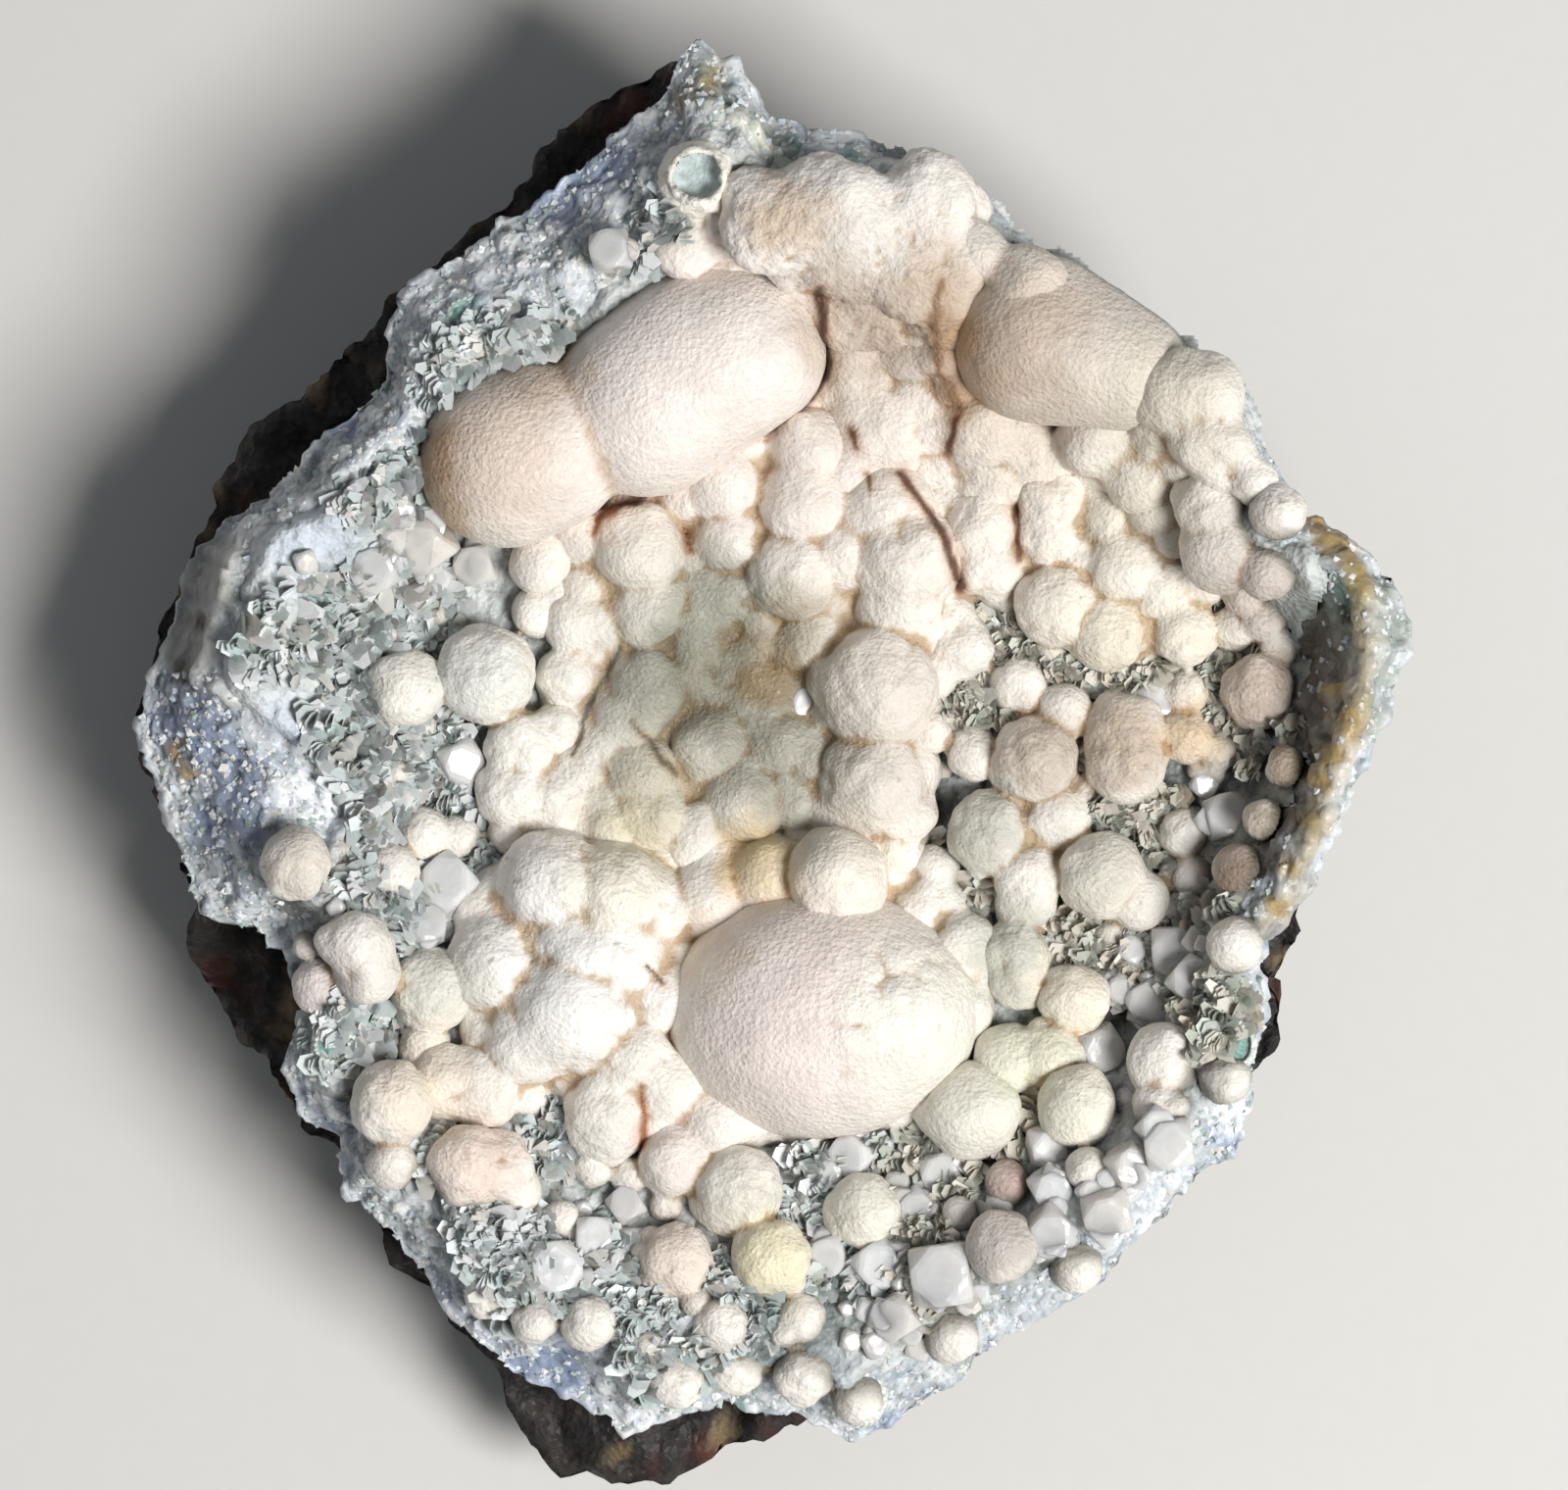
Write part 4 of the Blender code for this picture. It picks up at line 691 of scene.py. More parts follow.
    # bands of the broken side, from the rock up: green skin, grey-blue, paler under the druse
    side = np.arange(sideFirst, sideEnd)
    share = np.repeat(np.linspace(0.0, 1.0, lining["sideRows"]), count)
    wave = share + 0.08 * lumps(points[side], 4.0, 65)
    band = 0.5 + 0.5 * np.sin(wave * 26.0)
    colors[side] += (ground * 0.85 - colors[side]) * (0.75 * smoothStep((1.0 - wave) / 0.3))[:, None]
    colors[side] *= (0.86 + 0.14 * band)[:, None]
    green = smoothStep((0.16 - wave) / 0.08)[:, None]
    colors[side] += (linear(lining["contact"]) - colors[side]) * green
    # painted shade: the colour is darkened in the narrow gaps between the chips of the crust
    shadeBetweenChips = smoothStep((0.10 - gap) / 0.1)   # between the chips
    colors *= (1.0 - 0.25 * shadeBetweenChips * (1.0 - smooth))[:, None]
    setColors(obj.data, colors)
    print("lining:", len(points), "points")
    return obj


rimSkin = makeLining()


# Globules, in masses that grew into one another

masses = {
    # melt: how far neighbours run into one another; buds: how many smaller knobs each globule carries,
    # how large and how far out; swell, knob and grain: size and depth of the unevenness
    "peanut": {"voxel": 0.44, "melt": 0.0, "relax": 14, "buds": (0, 0.0, 0.0), "swell": (9.0, 0.22),
               "knob": (2.6, 0.05), "grain": (0.9, 0.04)},
    "ovoid": {"voxel": 0.42, "melt": 0.0, "relax": 9, "buds": (0, 0.0, 0.0), "swell": (8.0, 0.22),
              "knob": (2.4, 0.10), "grain": (0.9, 0.05)},
    "dome": {"box": (-1.0, -32.0, 16.0, -18.5), "voxel": 0.44, "melt": 1.0, "relax": 6,
             "buds": (0, 0.0, 0.0), "swell": (8.0, 0.25), "knob": (2.4, 0.07), "grain": (0.9, 0.03),
             "shoulder": (15.0, -26.0, 8.0, 6.0)},   # knobbly here: x, y, reach, how much more
    "edge": {"box": (-11.0, 44.4, 20.4, 62.0), "voxel": 0.40, "melt": 0.8, "relax": 4,
             "buds": (4, 0.52, 0.62), "swell": (6.0, 0.75), "knob": (1.4, 0.28), "grain": (0.7, 0.16),
             "flat": 0.75},
    "upper": {"box": (5.0, 28.0, 60.0, 62.0), "voxel": 0.42, "melt": 0.45, "relax": 2,
              "buds": (6, 0.45, 0.64), "swell": (5.0, 0.35), "knob": (2.2, 0.20), "grain": (0.9, 0.07)},
    "middle": {"box": (-21.0, -9.2, 16.5, 33.5), "voxel": 0.38, "melt": 0.28, "relax": 1,
               "buds": (7, 0.44, 0.64), "swell": (4.0, 0.35), "knob": (1.9, 0.22),
               "grain": (0.9, 0.08)},
    "lower": {"box": (-34.0, -38.5, 24.0, -8.0), "voxel": 0.42, "melt": 0.32, "relax": 2,
              "buds": (6, 0.44, 0.62), "swell": (5.0, 0.40), "knob": (2.0, 0.22), "grain": (0.9, 0.07)},
    "right": {"box": (16.5, -45.0, 60.0, 28.0), "voxel": 0.38, "melt": 0.25, "relax": 0,
              "buds": (9, 0.42, 0.66), "swell": (3.6, 0.25), "knob": (1.7, 0.22), "grain": (0.9, 0.07)},
    "left": {"box": (-60.0, -45.0, -21.0, 20.0), "voxel": 0.38, "melt": 0.28, "relax": 0,
             "buds": (9, 0.42, 0.66), "swell": (3.6, 0.25), "knob": (1.7, 0.22), "grain": (0.9, 0.07)},
    "foot": {"box": (-60.0, -75.0, 60.0, -36.5), "voxel": 0.38, "melt": 0.28, "relax": 0,
             "buds": (9, 0.42, 0.66), "swell": (3.6, 0.25), "knob": (1.7, 0.24), "grain": (0.9, 0.07)},
}
# the mass grew closed over this ground, so low knobs fill it between the globules
closedGround = {
    "edge": [(-24, 21), (-15, 27), (-8, 30), (2, 35), (6, 41), (6, 47), (-6, 52), (-8, 57), (2, 60),
             (12, 59), (20, 57), (27, 52), (38, 45), (46, 37), (49, 31), (46, 27), (42, 24), (41, 19),
             (38, 14), (31, 14), (27, 18), (21, 16), (18, 10), (17, 2), (15, -6), (16, -10), (20, -15),
             (18, -20), (23, -22), (19, -32), (10, -36), (0, -37), (-6, -40), (-14, -38), (-20, -32),
             (-28, -29), (-31, -23), (-29, -14), (-26, -10), (-20, -8), (-26, -4), (-28, 4), (-21, 8),
             (-21, 14)],
    "rows": (-14, 21), "columns": (-12, 18), "pitch": 3.0, "size": (2.1, 3.3), "rise": (-1.0, 1.1),
}
# the long globule has two lobes, each a smooth run of balls; the first stops short to leave its waist
lobes = [(0, 1, 0.45), (2, 3, 1.0), (3, 4, 1.0)]


def ballMiddle(x, y, radius, lift):
    return float(druseHeight(np.array([x]), np.array([y]))[0]) + crust["riding"] * radius + lift


def longGlobule():
    run = []
    for first, last, share in lobes:
        ends = [peanut[first], peanut[last]]
        start, end = [(x, y, ballMiddle(x, y, radius, lift), radius) for x, y, radius, lift in ends]
        for step in np.linspace(0.0, share, 9):
            x, y, z, radius = [a + (b - a) * step for a, b in zip(start, end)]
            run.append((x, y, z, radius, radius, radius))
    return run


def insideLine(x, y, line):
    crossings = 0
    for (ax, ay), (bx, by) in zip(line, line[1:] + line[:1]):
        if (ay > y) != (by > y) and x < ax + (bx - ax) * (y - ay) / (by - ay):
            crossings += 1
    return crossings % 2 == 1


def lowKnobs():
    rng = random.Random(5)
    found = []
    pitch = closedGround["pitch"]
    for row in range(*closedGround["rows"]):
        for column in range(*closedGround["columns"]):
            x = (column + 0.5 * (row % 2) + rng.uniform(-0.3, 0.3)) * pitch
            y = (row + rng.uniform(-0.3, 0.3)) * pitch
            radius = rng.uniform(*closedGround["size"])
            lift = rng.uniform(*closedGround["rise"])
            onOvoid = any(math.hypot(x - dome[0], y - dome[1]) < dome[2] - 0.5 for dome in domes[-2:])
            if insideLine(x, y, closedGround["edge"]) and not onOvoid:
                found.append((x, y, ballMiddle(x, y, radius, lift), radius, radius, radius))
    return found


looseBalls = {   # small round knobs among the blades: x, y, reach of their places, how many, radius
    "places": [(24, 10, 8), (33, 6, 9), (30, -8, 9), (38, -8, 8), (46, 5, 7), (34, -18, 8),
               (44, -16, 6), (26, -36, 6), (36, -36, 6), (12, -44, 8), (0, -54, 10), (14, -56, 8),
               (-14, -52, 8), (-26, -48, 7), (-24, -38, 6), (-38, -26, 7), (-36, -12, 7), (-34, 4, 7),
               (-36, 14, 6), (-16, 52, 6), (52, 16, 5), (-44, -18, 4)],
    "count": 70, "size": (0.8, 1.7),
}


def smallBalls():
    rng = random.Random(9)
    found = []
    for _ in range(looseBalls["count"]):
        x, y, reach = rng.choice(looseBalls["places"])
        turn, far = rng.uniform(0.0, math.tau), reach * math.sqrt(rng.random())
        x, y = x + far * math.cos(turn), y + far * math.sin(turn)
        radius = rng.uniform(*looseBalls["size"])
        found.append((x, y, ballMiddle(x, y, radius, 0.3), radius, radius, radius))
    return found


def sortBalls():  # each globule and dome goes to the first mass whose box holds its middle
    taken = {name: [] for name in masses}
    boxes = {name: masses[name]["box"] for name in masses if "box" in masses[name]}
    taken["peanut"] = longGlobule()
    everything = []
    for x, y, radius, lift in globules:  # sunk deeper by the lower edge, so none stands off the rim
        inside = float(edgeReach(liningEdge, math.atan2(y, x))) - math.hypot(x, y)
        sunk = crust["lowSink"] * max(0.0, 1.0 - inside / crust["lowSinkWithin"]) if y < 0.0 else 0.0
        everything.append((x, y, ballMiddle(x, y, radius, lift) - sunk, radius, radius, radius))
    everything += [(x, y, top - half, rx, ry, half) for x, y, rx, ry, top, half in domes[:-2]]
    for share in np.linspace(0.0, 1.0, 9):  # the upper right dome is one long swell
        x, y, rx, ry, top, half = np.array(domes[-2]) * (1.0 - share) + np.array(domes[-1]) * share
        taken["ovoid"].append((x, y, top - half + 1.3, rx, ry, half))
    everything += lowKnobs() + smallBalls()
    for x, y, z, rx, ry, rz in everything:
        inBox = [name for name, (west, south, east, north) in boxes.items()
                 if west <= x <= east and south <= y <= north]
        name = inBox[0] if inBox else ("upper" if y > 0.0 else "foot")
        taken[name].append((x, y, z, rx, ry, rz * masses[name].get("flat", 1.0)))
    return taken


def addBuds(balls, settings, rng):  # smaller knobs low on the shoulders, so no globule is a plain ball
    count, size, out = settings["buds"]
    budded = list(balls)
    for x, y, z, rx, ry, rz in balls:
        if not crust["budded"][0] < min(rx, ry) < crust["budded"][1]:
            continue
        own = rng.randint(count // 2, count) if count else 0
        for k in range(own):
            turn = math.tau * (k + rng.uniform(-0.3, 0.3)) / own
            rise = rng.uniform(-0.1, 0.75)
            flat = math.sqrt(1.0 - rise * rise)
            scale = size * rng.uniform(0.8, 1.15)
            far = out * rng.uniform(0.85, 1.05)
            budded.append((x + rx * far * flat * math.cos(turn), y + ry * far * flat * math.sin(turn),
                           z + rz * far * rise, rx * scale, ry * scale, rz * scale))
    return budded


def meshEdges(mesh):
    edges = np.empty(len(mesh.edges) * 2, dtype=np.int32)
    mesh.edges.foreach_get("vertices", edges)
    return edges.reshape(-1, 2)


def relaxed(points, edges, rounds):  # each point moves half way to the middle of its neighbours
    first, second = edges.T
    size = len(points)
    neighbours = np.maximum(np.bincount(edges.ravel(), minlength=size), 1)[:, None]
    for _ in range(rounds):
        sums = [np.bincount(first, at[second], size) + np.bincount(second, at[first], size)
                for at in points.T]
        points = 0.5 * points + 0.5 * np.column_stack(sums) / neighbours
    return points


def hollowness(obj, rounds, depth):  # 0 on open ground to 1 down in a crease
    points = getPoints(obj.data)
    moved = relaxed(points, meshEdges(obj.data), rounds) - points
    inward = (moved * getNormals(obj.data)).sum(axis=1)
    return np.clip(inward / depth, 0.0, 1.0)


def meltTogether(points, balls, melt):  # onto the skin that runs neighbours together
    middles = np.array([ball[:3] for ball in balls])
    sizes = np.array([ball[3:] for ball in balls])
    for start in range(0, len(points), 4000):
        part = points[start:start + 4000]
        low, high = part.min(axis=0) - 4.0, part.max(axis=0) + 4.0
        close = ((middles + sizes > low) & (middles - sizes < high)).all(axis=1)
        unit = (part[:, None, :] - middles[None, close, :]) / sizes[None, close, :]
        length = np.linalg.norm(unit, axis=2)
        slope = unit / sizes[None, close, :]
        steep = np.maximum(np.linalg.norm(slope, axis=2), 1e-9)
        away = (length - 1.0) * length / steep
        best = away.min(axis=1)
        weight = np.exp(-(away - best[:, None]) / melt)
        field = best - melt * (np.log(weight.sum(axis=1)) - 0.35)
        mixed = (slope / steep[:, :, None] * weight[:, :, None]).sum(axis=1)
        mixed /= np.maximum(np.linalg.norm(mixed, axis=1, keepdims=True), 1e-9)
        points[start:start + 4000] = part - mixed * np.clip(field, -1.2, 1.2)[:, None]
    return points


def plainBall(fineness):
    shape = bmesh.new()
    bmesh.ops.create_icosphere(shape, subdivisions=fineness, radius=1.0)
    points = np.array([vert.co[:] for vert in shape.verts])
    faces = np.array([[vert.index for vert in face.verts] for face in shape.faces])
    shape.free()
    return points, faces


ballMeshes = {fineness: plainBall(fineness) for fineness in (3, 4, 5)}


def makeMass(name, settings, balls):
    shapes = addBuds(balls, settings, random.Random(name))
    allPoints, allFaces, count = [], [], 0
    for x, y, z, rx, ry, rz in shapes:
        points, faces = ballMeshes[3 if rx < 2.4 else 4 if rx < 6.0 else 5]
        allPoints.append(points * (rx, ry, rz) + (x, y, z))
        allFaces.append(faces + count)
        count += len(points)
    rough = bpy.data.meshes.new(name + "Rough")
    fillMesh(rough, np.concatenate(allPoints), np.concatenate(allFaces))
    holder = bpy.data.objects.new(name + "Rough", rough)
    bpy.context.scene.collection.objects.link(holder)
    remesh = holder.modifiers.new("oneSkin", 'REMESH')
    remesh.mode = 'VOXEL'
    remesh.voxel_size = settings["voxel"] * mm
    skin = bpy.data.meshes.new_from_object(holder.evaluated_get(bpy.context.evaluated_depsgraph_get()))
    bpy.data.objects.remove(holder)
    points = getPoints(skin)
    faces = np.empty(len(skin.polygons) * 4, dtype=np.int64)
    skin.loops.foreach_get("vertex_index", faces)
    faces = faces.reshape(-1, 4)
    bpy.data.meshes.remove(skin)
    ground = druseHeight(points[:, 0], points[:, 1])
    faces = faces[(points[:, 2] > ground - 0.9)[faces].any(axis=1)]
    used, faces = np.unique(faces, return_inverse=True)
    points, faces = points[used], faces.reshape(-1, 4)
    for _ in range(2 if settings["melt"] else 0):
        points = meltTogether(points, shapes, settings["melt"])
    obj = newObject("globules_" + name, points, faces, materials["velvetGlobules"])
    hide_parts("globule_crust")
    setPoints(obj.data, relaxed(points, meshEdges(obj.data), settings["relax"]))
    points, normals = getPoints(obj.data), getNormals(obj.data)
    knobSize, knobDepth = settings["knob"]
    near = chips(points, knobSize, 71)[0]
    push = settings["swell"][1] * roughness(points, settings["swell"][0], 72, 2)
    rougher = np.ones(len(points))
    if "shoulder" in settings:
        x, y, reach, more = settings["shoulder"]
        far = ((points[:, 0] - x) ** 2 + (points[:, 1] - y) ** 2) / reach ** 2
        rougher += more * np.exp(-far ** 2)
    push += knobDepth * rougher * (0.9 - 2.0 * near ** 2) * smoothStep(0.6 + lumps(points, 7.0, 74))
    push += settings["grain"][1] * lumps(points, settings["grain"][0], 73)
    setPoints(obj.data, points + normals * push[:, None])
    setColors(obj.data, globuleColors(obj))
    print("globules", name + ":", len(balls), "balls,", len(faces) * 2, "triangles")
    return obj


# painted shade: tan down in the creases between globules and dark low on them where they meet the druse;
# stain is the warm halo of the crack lines, partly real stain and partly painted shade; speck is the
# globules' own dark specks
creaseShadeAndStain = {
    "fine": (6, 0.11), "broad": (40, 0.31),   # rounds of smoothing, depth of a full crease
    "pale": "#F4EADC", "tan": "#B8976C", "deep": "#46432F", "reach": 3.0,
    "stainAndShade": "#C98F5A", "speck": "#7C705C",
}

# each globule's own colour, with painted shade on the sides turned from the light, such as the tan at the
# left end of the long globule and on the left of the upper right swell
globuleTonesAndShade = {
    "plain": "#EDE7DE",
    "tonesWithShade": [   # x, y, reach, color, in the order painted
        (-10.0, 38.0, 18.0, "#EFE4DC"), (-28.0, 32.0, 9.0, "#E0CDBC"), (-35.0, 31.0, 4.5, "#BE9772"),
        (-33.5, 24.5, 3.5, "#C9AE8C"), (-22.0, 40.0, 4.0, "#D9C4B0"), (26.0, 42.0, 10.0, "#BFAB97"),
        (19.2, 43.5, 3.4, "#B08C66"), (20.5, 37.5, 4.0, "#BFA385"), (36.0, 41.0, 5.5, "#DDD3C7"),
        (10.0, 52.0, 7.0, "#DACFC1"), (16.0, 49.0, 5.0, "#C5B199"), (2.0, 55.0, 4.0, "#D9C3AA"),
        (12.0, 56.0, 6.0, "#EEE8E0"), (8.0, 44.0, 6.0, "#CFC0B0"), (12.0, 43.0, 4.0, "#BFAE9C"),
        (40.0, 36.0, 8.0, "#D5CCBB"), (26.0, 31.0, 6.0, "#DDD2C3"), (12.0, 34.0, 6.0, "#E6DCD0"),
        (5.0, 28.0, 8.0, "#E8DED4"), (14.0, 20.0, 8.0, "#EDE5DA"), (-13.0, 19.0, 8.0, "#E6E0D3"),
        (-5.0, 15.0, 7.0, "#999888"), (-10.0, 8.0, 7.0, "#959484"), (-3.0, 8.0, 7.0, "#8A8674"),
        (2.0, 0.0, 9.0, "#9B9888"), (12.0, 7.0, 7.0, "#DFD6CA"), (11.0, -3.0, 6.0, "#DAD2C6"),
        (3.0, 14.0, 5.0, "#B0A690"), (0.0, 9.0, 3.6, "#8E7856"), (-12.0, -2.0, 6.0, "#BDB7A2"),
        (-14.0, -8.0, 5.0, "#CBC2A4"), (-1.0, -10.0, 4.5, "#C9B07C"), (8.0, -12.0, 6.0, "#EBE3D4"),
        (0.0, -12.0, 3.5, "#DDCBA2"), (3.0, -25.0, 13.0, "#EDDFD8"), (-6.0, -19.0, 4.0, "#E0CFBC"),
        (15.0, -26.0, 8.0, "#F0ECDF"), (-8.0, -20.0, 4.0, "#E9DFD0"), (-19.0, -20.0, 11.0, "#F3F0EA"),
        (-16.0, -13.0, 5.0, "#EDE6D6"), (-12.0, -33.0, 6.0, "#EBE5DA"), (-27.0, 5.0, 8.0, "#ECE8DE"),
        (-37.0, 8.0, 5.0, "#F1ECE1"), (-29.0, 9.0, 5.0, "#E2E2DA"), (-34.0, -23.0, 5.0, "#D9D7CC"),
        (-35.0, -33.0, 6.0, "#EADDCB"), (-29.0, -41.0, 5.0, "#E6D2C4"), (-9.0, -40.0, 4.5, "#E9DED6"),
        (-3.0, -44.0, 5.0, "#DAD5C8"), (0.4, -50.6, 4.6, "#ECE3BE"), (10.0, -45.6, 4.6, "#E2DFD0"),
        (24.5, -42.8, 3.0, "#AA8D82"), (24.0, -49.1, 4.2, "#B8B0A8"), (28.0, 1.0, 5.0, "#BFB1A0"),
        (37.0, 2.0, 5.0, "#BDAA94"), (44.0, 3.0, 4.0, "#D9C09C"), (50.0, 7.0, 4.5, "#BDAA9A"),
        (47.0, 22.0, 6.0, "#CFC6BC"), (50.0, 17.0, 4.5, "#C4B8AE"), (35.0, 13.0, 5.0, "#E6DDC6"),
        (43.0, 13.5, 4.5, "#E8E0CE"), (30.0, 16.0, 5.0, "#EAE2D2"), (26.0, 23.0, 5.0, "#EBE2D6"),
        (37.0, 25.0, 6.0, "#E3DBCA"), (22.0, -7.0, 5.0, "#BDBBAE"), (34.0, -11.5, 5.0, "#D4CFC0"),
        (25.0, -20.0, 5.0, "#BEBDAF"), (31.0, -24.0, 4.4, "#E6DCC8"), (27.0, -30.0, 5.0, "#E0DEC4"),
        (21.0, -35.6, 5.5, "#E4E1D2"), (32.0, -35.0, 4.5, "#EBE6D4"), (48.2, -11.0, 3.4, "#7A5E46"),
        (50.7, -5.6, 2.6, "#B5A792"), (53.0, -0.4, 2.8, "#96806A"), (-9.6, -51.0, 5.0, "#E2D2C4"),
        (-48.0, -10.0, 4.0, "#D4CBBE"), (-45.0, -22.0, 4.0, "#DCD0CA")],
}


def globuleColors(obj):
    points = getPoints(obj.data)
    colors = np.tile(linear(globuleTonesAndShade["plain"]), (len(points), 1))
    dab(points, colors, globuleTonesAndShade["tonesWithShade"], wobble=1.6, fade=0.85)
    colors *= (1.0 + 0.06 * roughness(points, 3.0, 75))[:, None]
    # painted shade: a warm tan darkening down in the creases between globules
    broad, fine = hollowness(obj, *creaseShadeAndStain["broad"]), hollowness(obj, *creaseShadeAndStain["fine"])
    tan = smoothStep(0.75 * broad + 0.35 * fine)[:, None]
    colors *= 1.0 + (linear(creaseShadeAndStain["tan"]) / linear(creaseShadeAndStain["pale"]) - 1.0) * 0.8 * tan
    # painted shade: dark low down on each globule, where it meets the druse
    above = points[:, 2] - druseHeight(points[:, 0], points[:, 1])
    low = smoothStep(1.0 - above / creaseShadeAndStain["reach"])[:, None]
    colors += (linear(creaseShadeAndStain["deep"]) - colors) * 0.72 * low
    # the long globule shows its crack lines, with their stain and painted shade, only low down, where it
    # meets the others
    long = obj.name == "globules_peanut"
    beneath = smoothStep((31.5 - points[:, 2]) / 1.5) if long else np.ones(len(points))
    bentX = points[:, 0] + 0.3 * lumps(points, 1.2, 8)
    bentY = points[:, 1] + 0.3 * lumps(points, 1.2, 9)
    wider = 1.0 + 0.5 * lumps(points, 2.0, 10)
    for width, hexColor, line in crackStainsAndShade:
        far = lineDistance(bentX, bentY, line) / (width * wider) + 9.0 * (1.0 - beneath)
        # painted shade and stain: a warm halo and a dark line along each crack
        stainAndShade = np.exp(-(far * 0.5) ** 2)[:, None]
        colors *= 1.0 + (linear(creaseShadeAndStain["stainAndShade"]) / linear(creaseShadeAndStain["pale"]) - 1.0) * 0.5 * stainAndShade
        colors += (linear(hexColor) - colors) * (0.95 * np.exp(-far ** 4))[:, None]
    specks = smoothStep((lumps(points, 0.8, 91) - 0.74) / 0.1)
    specks = specks * smoothStep(0.3 + lumps(points, 9.0, 92))
    colors += (linear(creaseShadeAndStain["speck"]) - colors) * (0.55 * specks)[:, None]
    return colors


# dark lines along the creases between globules: partly real rust stain, partly painted shade in the creases
crackStainsAndShade = [   # width, color, route in plan
    (0.5, "#8A6C50", [(17.6, 48.6), (17.0, 44.5), (17.4, 40.0), (19.8, 36.2)]),
    (0.55, "#4A2A18", [(5.3, 47.6), (5.9, 42.9), (6.3, 40.9), (5.3, 38.4), (3.8, 36.9), (1.8, 35.1),
                       (-1.2, 33.9), (-4.2, 32.7), (-8.2, 30.4), (-10.2, 28.9), (-12.7, 27.1),
                       (-15.7, 26.1)]),
    (0.45, "#8A4A26", [(-15.7, 26.1), (-17.0, 25.0), (-17.7, 23.4)]),
    (0.6, "#2E2A22", [(-36.9, 30.9), (-36.9, 26.9), (-35.7, 24.4), (-33.2, 22.4), (-29.7, 20.6)]),
    (0.42, "#5A3420", [(13.6, 29.7), (16.3, 25.9), (17.8, 23.9), (19.8, 17.9)]),
    (0.45, "#5A3018", [(19.6, 35.4), (18.6, 32.1)]),
    (0.4, "#6A4630", [(25.3, 25.9), (25.8, 20.4)]),
    (0.35, "#7A4A30", [(-8.2, 23.9), (-7.9, 21.9)]),
    (0.35, "#6A4228", [(8.8, 33.9), (9.1, 32.4)]),
    (0.35, "#7A5038", [(10.3, 29.4), (10.6, 28.1)]),
    (0.25, "#5E6558", [(-14.7, 11.9), (-18.2, 5.9), (-19.7, 0.9)]),
    (0.25, "#6A6450", [(-13.7, 4.4), (-11.0, 0.8), (-9.2, -1.1)]),
    (0.35, "#9A5A30", [(-12.7, -33.1), (-12.5, -36.0), (-12.9, -39.1)]),
    (0.3, "#5A4A3E", [(-12.2, -20.6), (-10.7, -22.3)]),
    (0.3, "#8A5838", [(0.3, 43.0), (0.5, 42.7)]),
]


# Druse between the globules

druse = {
    "pitch": 0.40, "hidden": 1.4, "swell": (5.0, 0.7), "chip": (1.3, 0.65), "point": (0.7, 0.30),
    "color": "#DADDDB", "green": "#8C988E", "dark": "#24271F", "warm": "#D8C8B2", "bluish": "#C8D2DE",
    "shadowTone": "#2A2A24",
    "greenSpots": [(-29.0, 43.0, 5.0), (-24.0, 47.0, 5.0), (-16.0, 55.0, 5.0), (-35.0, 34.0, 4.0),
                   (-38.0, 28.0, 4.0), (-39.0, 12.0, 4.0), (-33.0, 4.0, 5.0), (-36.0, -6.0, 6.0),
                   (-35.0, -14.0, 5.0), (-42.0, -26.0, 5.0), (-22.0, -38.0, 6.0), (-27.0, -48.0, 5.0),
                   (-8.0, -58.0, 6.0), (10.0, -39.0, 5.0), (22.0, 8.0, 6.0), (24.0, 10.0, 5.0),
                   (38.0, -6.0, 7.0), (30.0, -16.0, 7.0), (37.0, -20.0, 6.0), (46.0, 9.0, 5.0),
                   (55.0, 12.0, 5.0), (48.0, -6.0, 6.0), (24.0, -39.0, 6.0), (5.0, -55.0, 7.0),
                   (20.0, -57.0, 6.0)],
    "shadowSpots": [(22.0, 8.0, 5.0), (31.0, -12.0, 6.0), (45.0, 8.0, 5.0), (38.0, -5.0, 6.0),
                  (36.0, -23.0, 5.0), (50.0, 0.0, 4.0), (26.0, 14.5, 2.4), (40.4, 32.4, 1.2),
                  (46.0, 28.6, 2.0), (47.5, 8.0, 3.0), (36.0, -17.0, 2.4), (37.0, -25.0, 1.8),
                  (17.0, -3.5, 2.4), (13.5, -9.5, 1.6), (51.0, -7.0, 3.0), (28.3, -51.0, 1.2),
                  (-48.0, -13.3, 2.2), (-43.0, -35.0, 1.8), (-37.2, 27.0, 2.0), (-31.0, 21.0, 2.0),
                  (-18.0, 12.0, 2.0)],
    "warmSpots": [(-31.0, 49.0, 3.0), (-22.0, 44.0, 3.0), (-40.0, -8.0, 4.0), (-32.0, -6.0, 4.0),
                  (-10.0, -52.0, 5.0), (26.0, 4.0, 4.0), (50.0, -8.0, 4.0), (52.0, 6.0, 4.0)],
    "bluishSpots": [(-44.0, -4.0, 6.0), (-49.0, 2.0, 5.0), (-38.0, 30.0, 5.0), (-30.0, -45.0, 5.0),
                    (-18.0, -61.0, 4.0), (-20.0, -55.0, 5.0), (3.0, -60.0, 6.0), (-45.0, 22.0, 6.0),
                    (-22.0, 57.0, 5.0)],
}


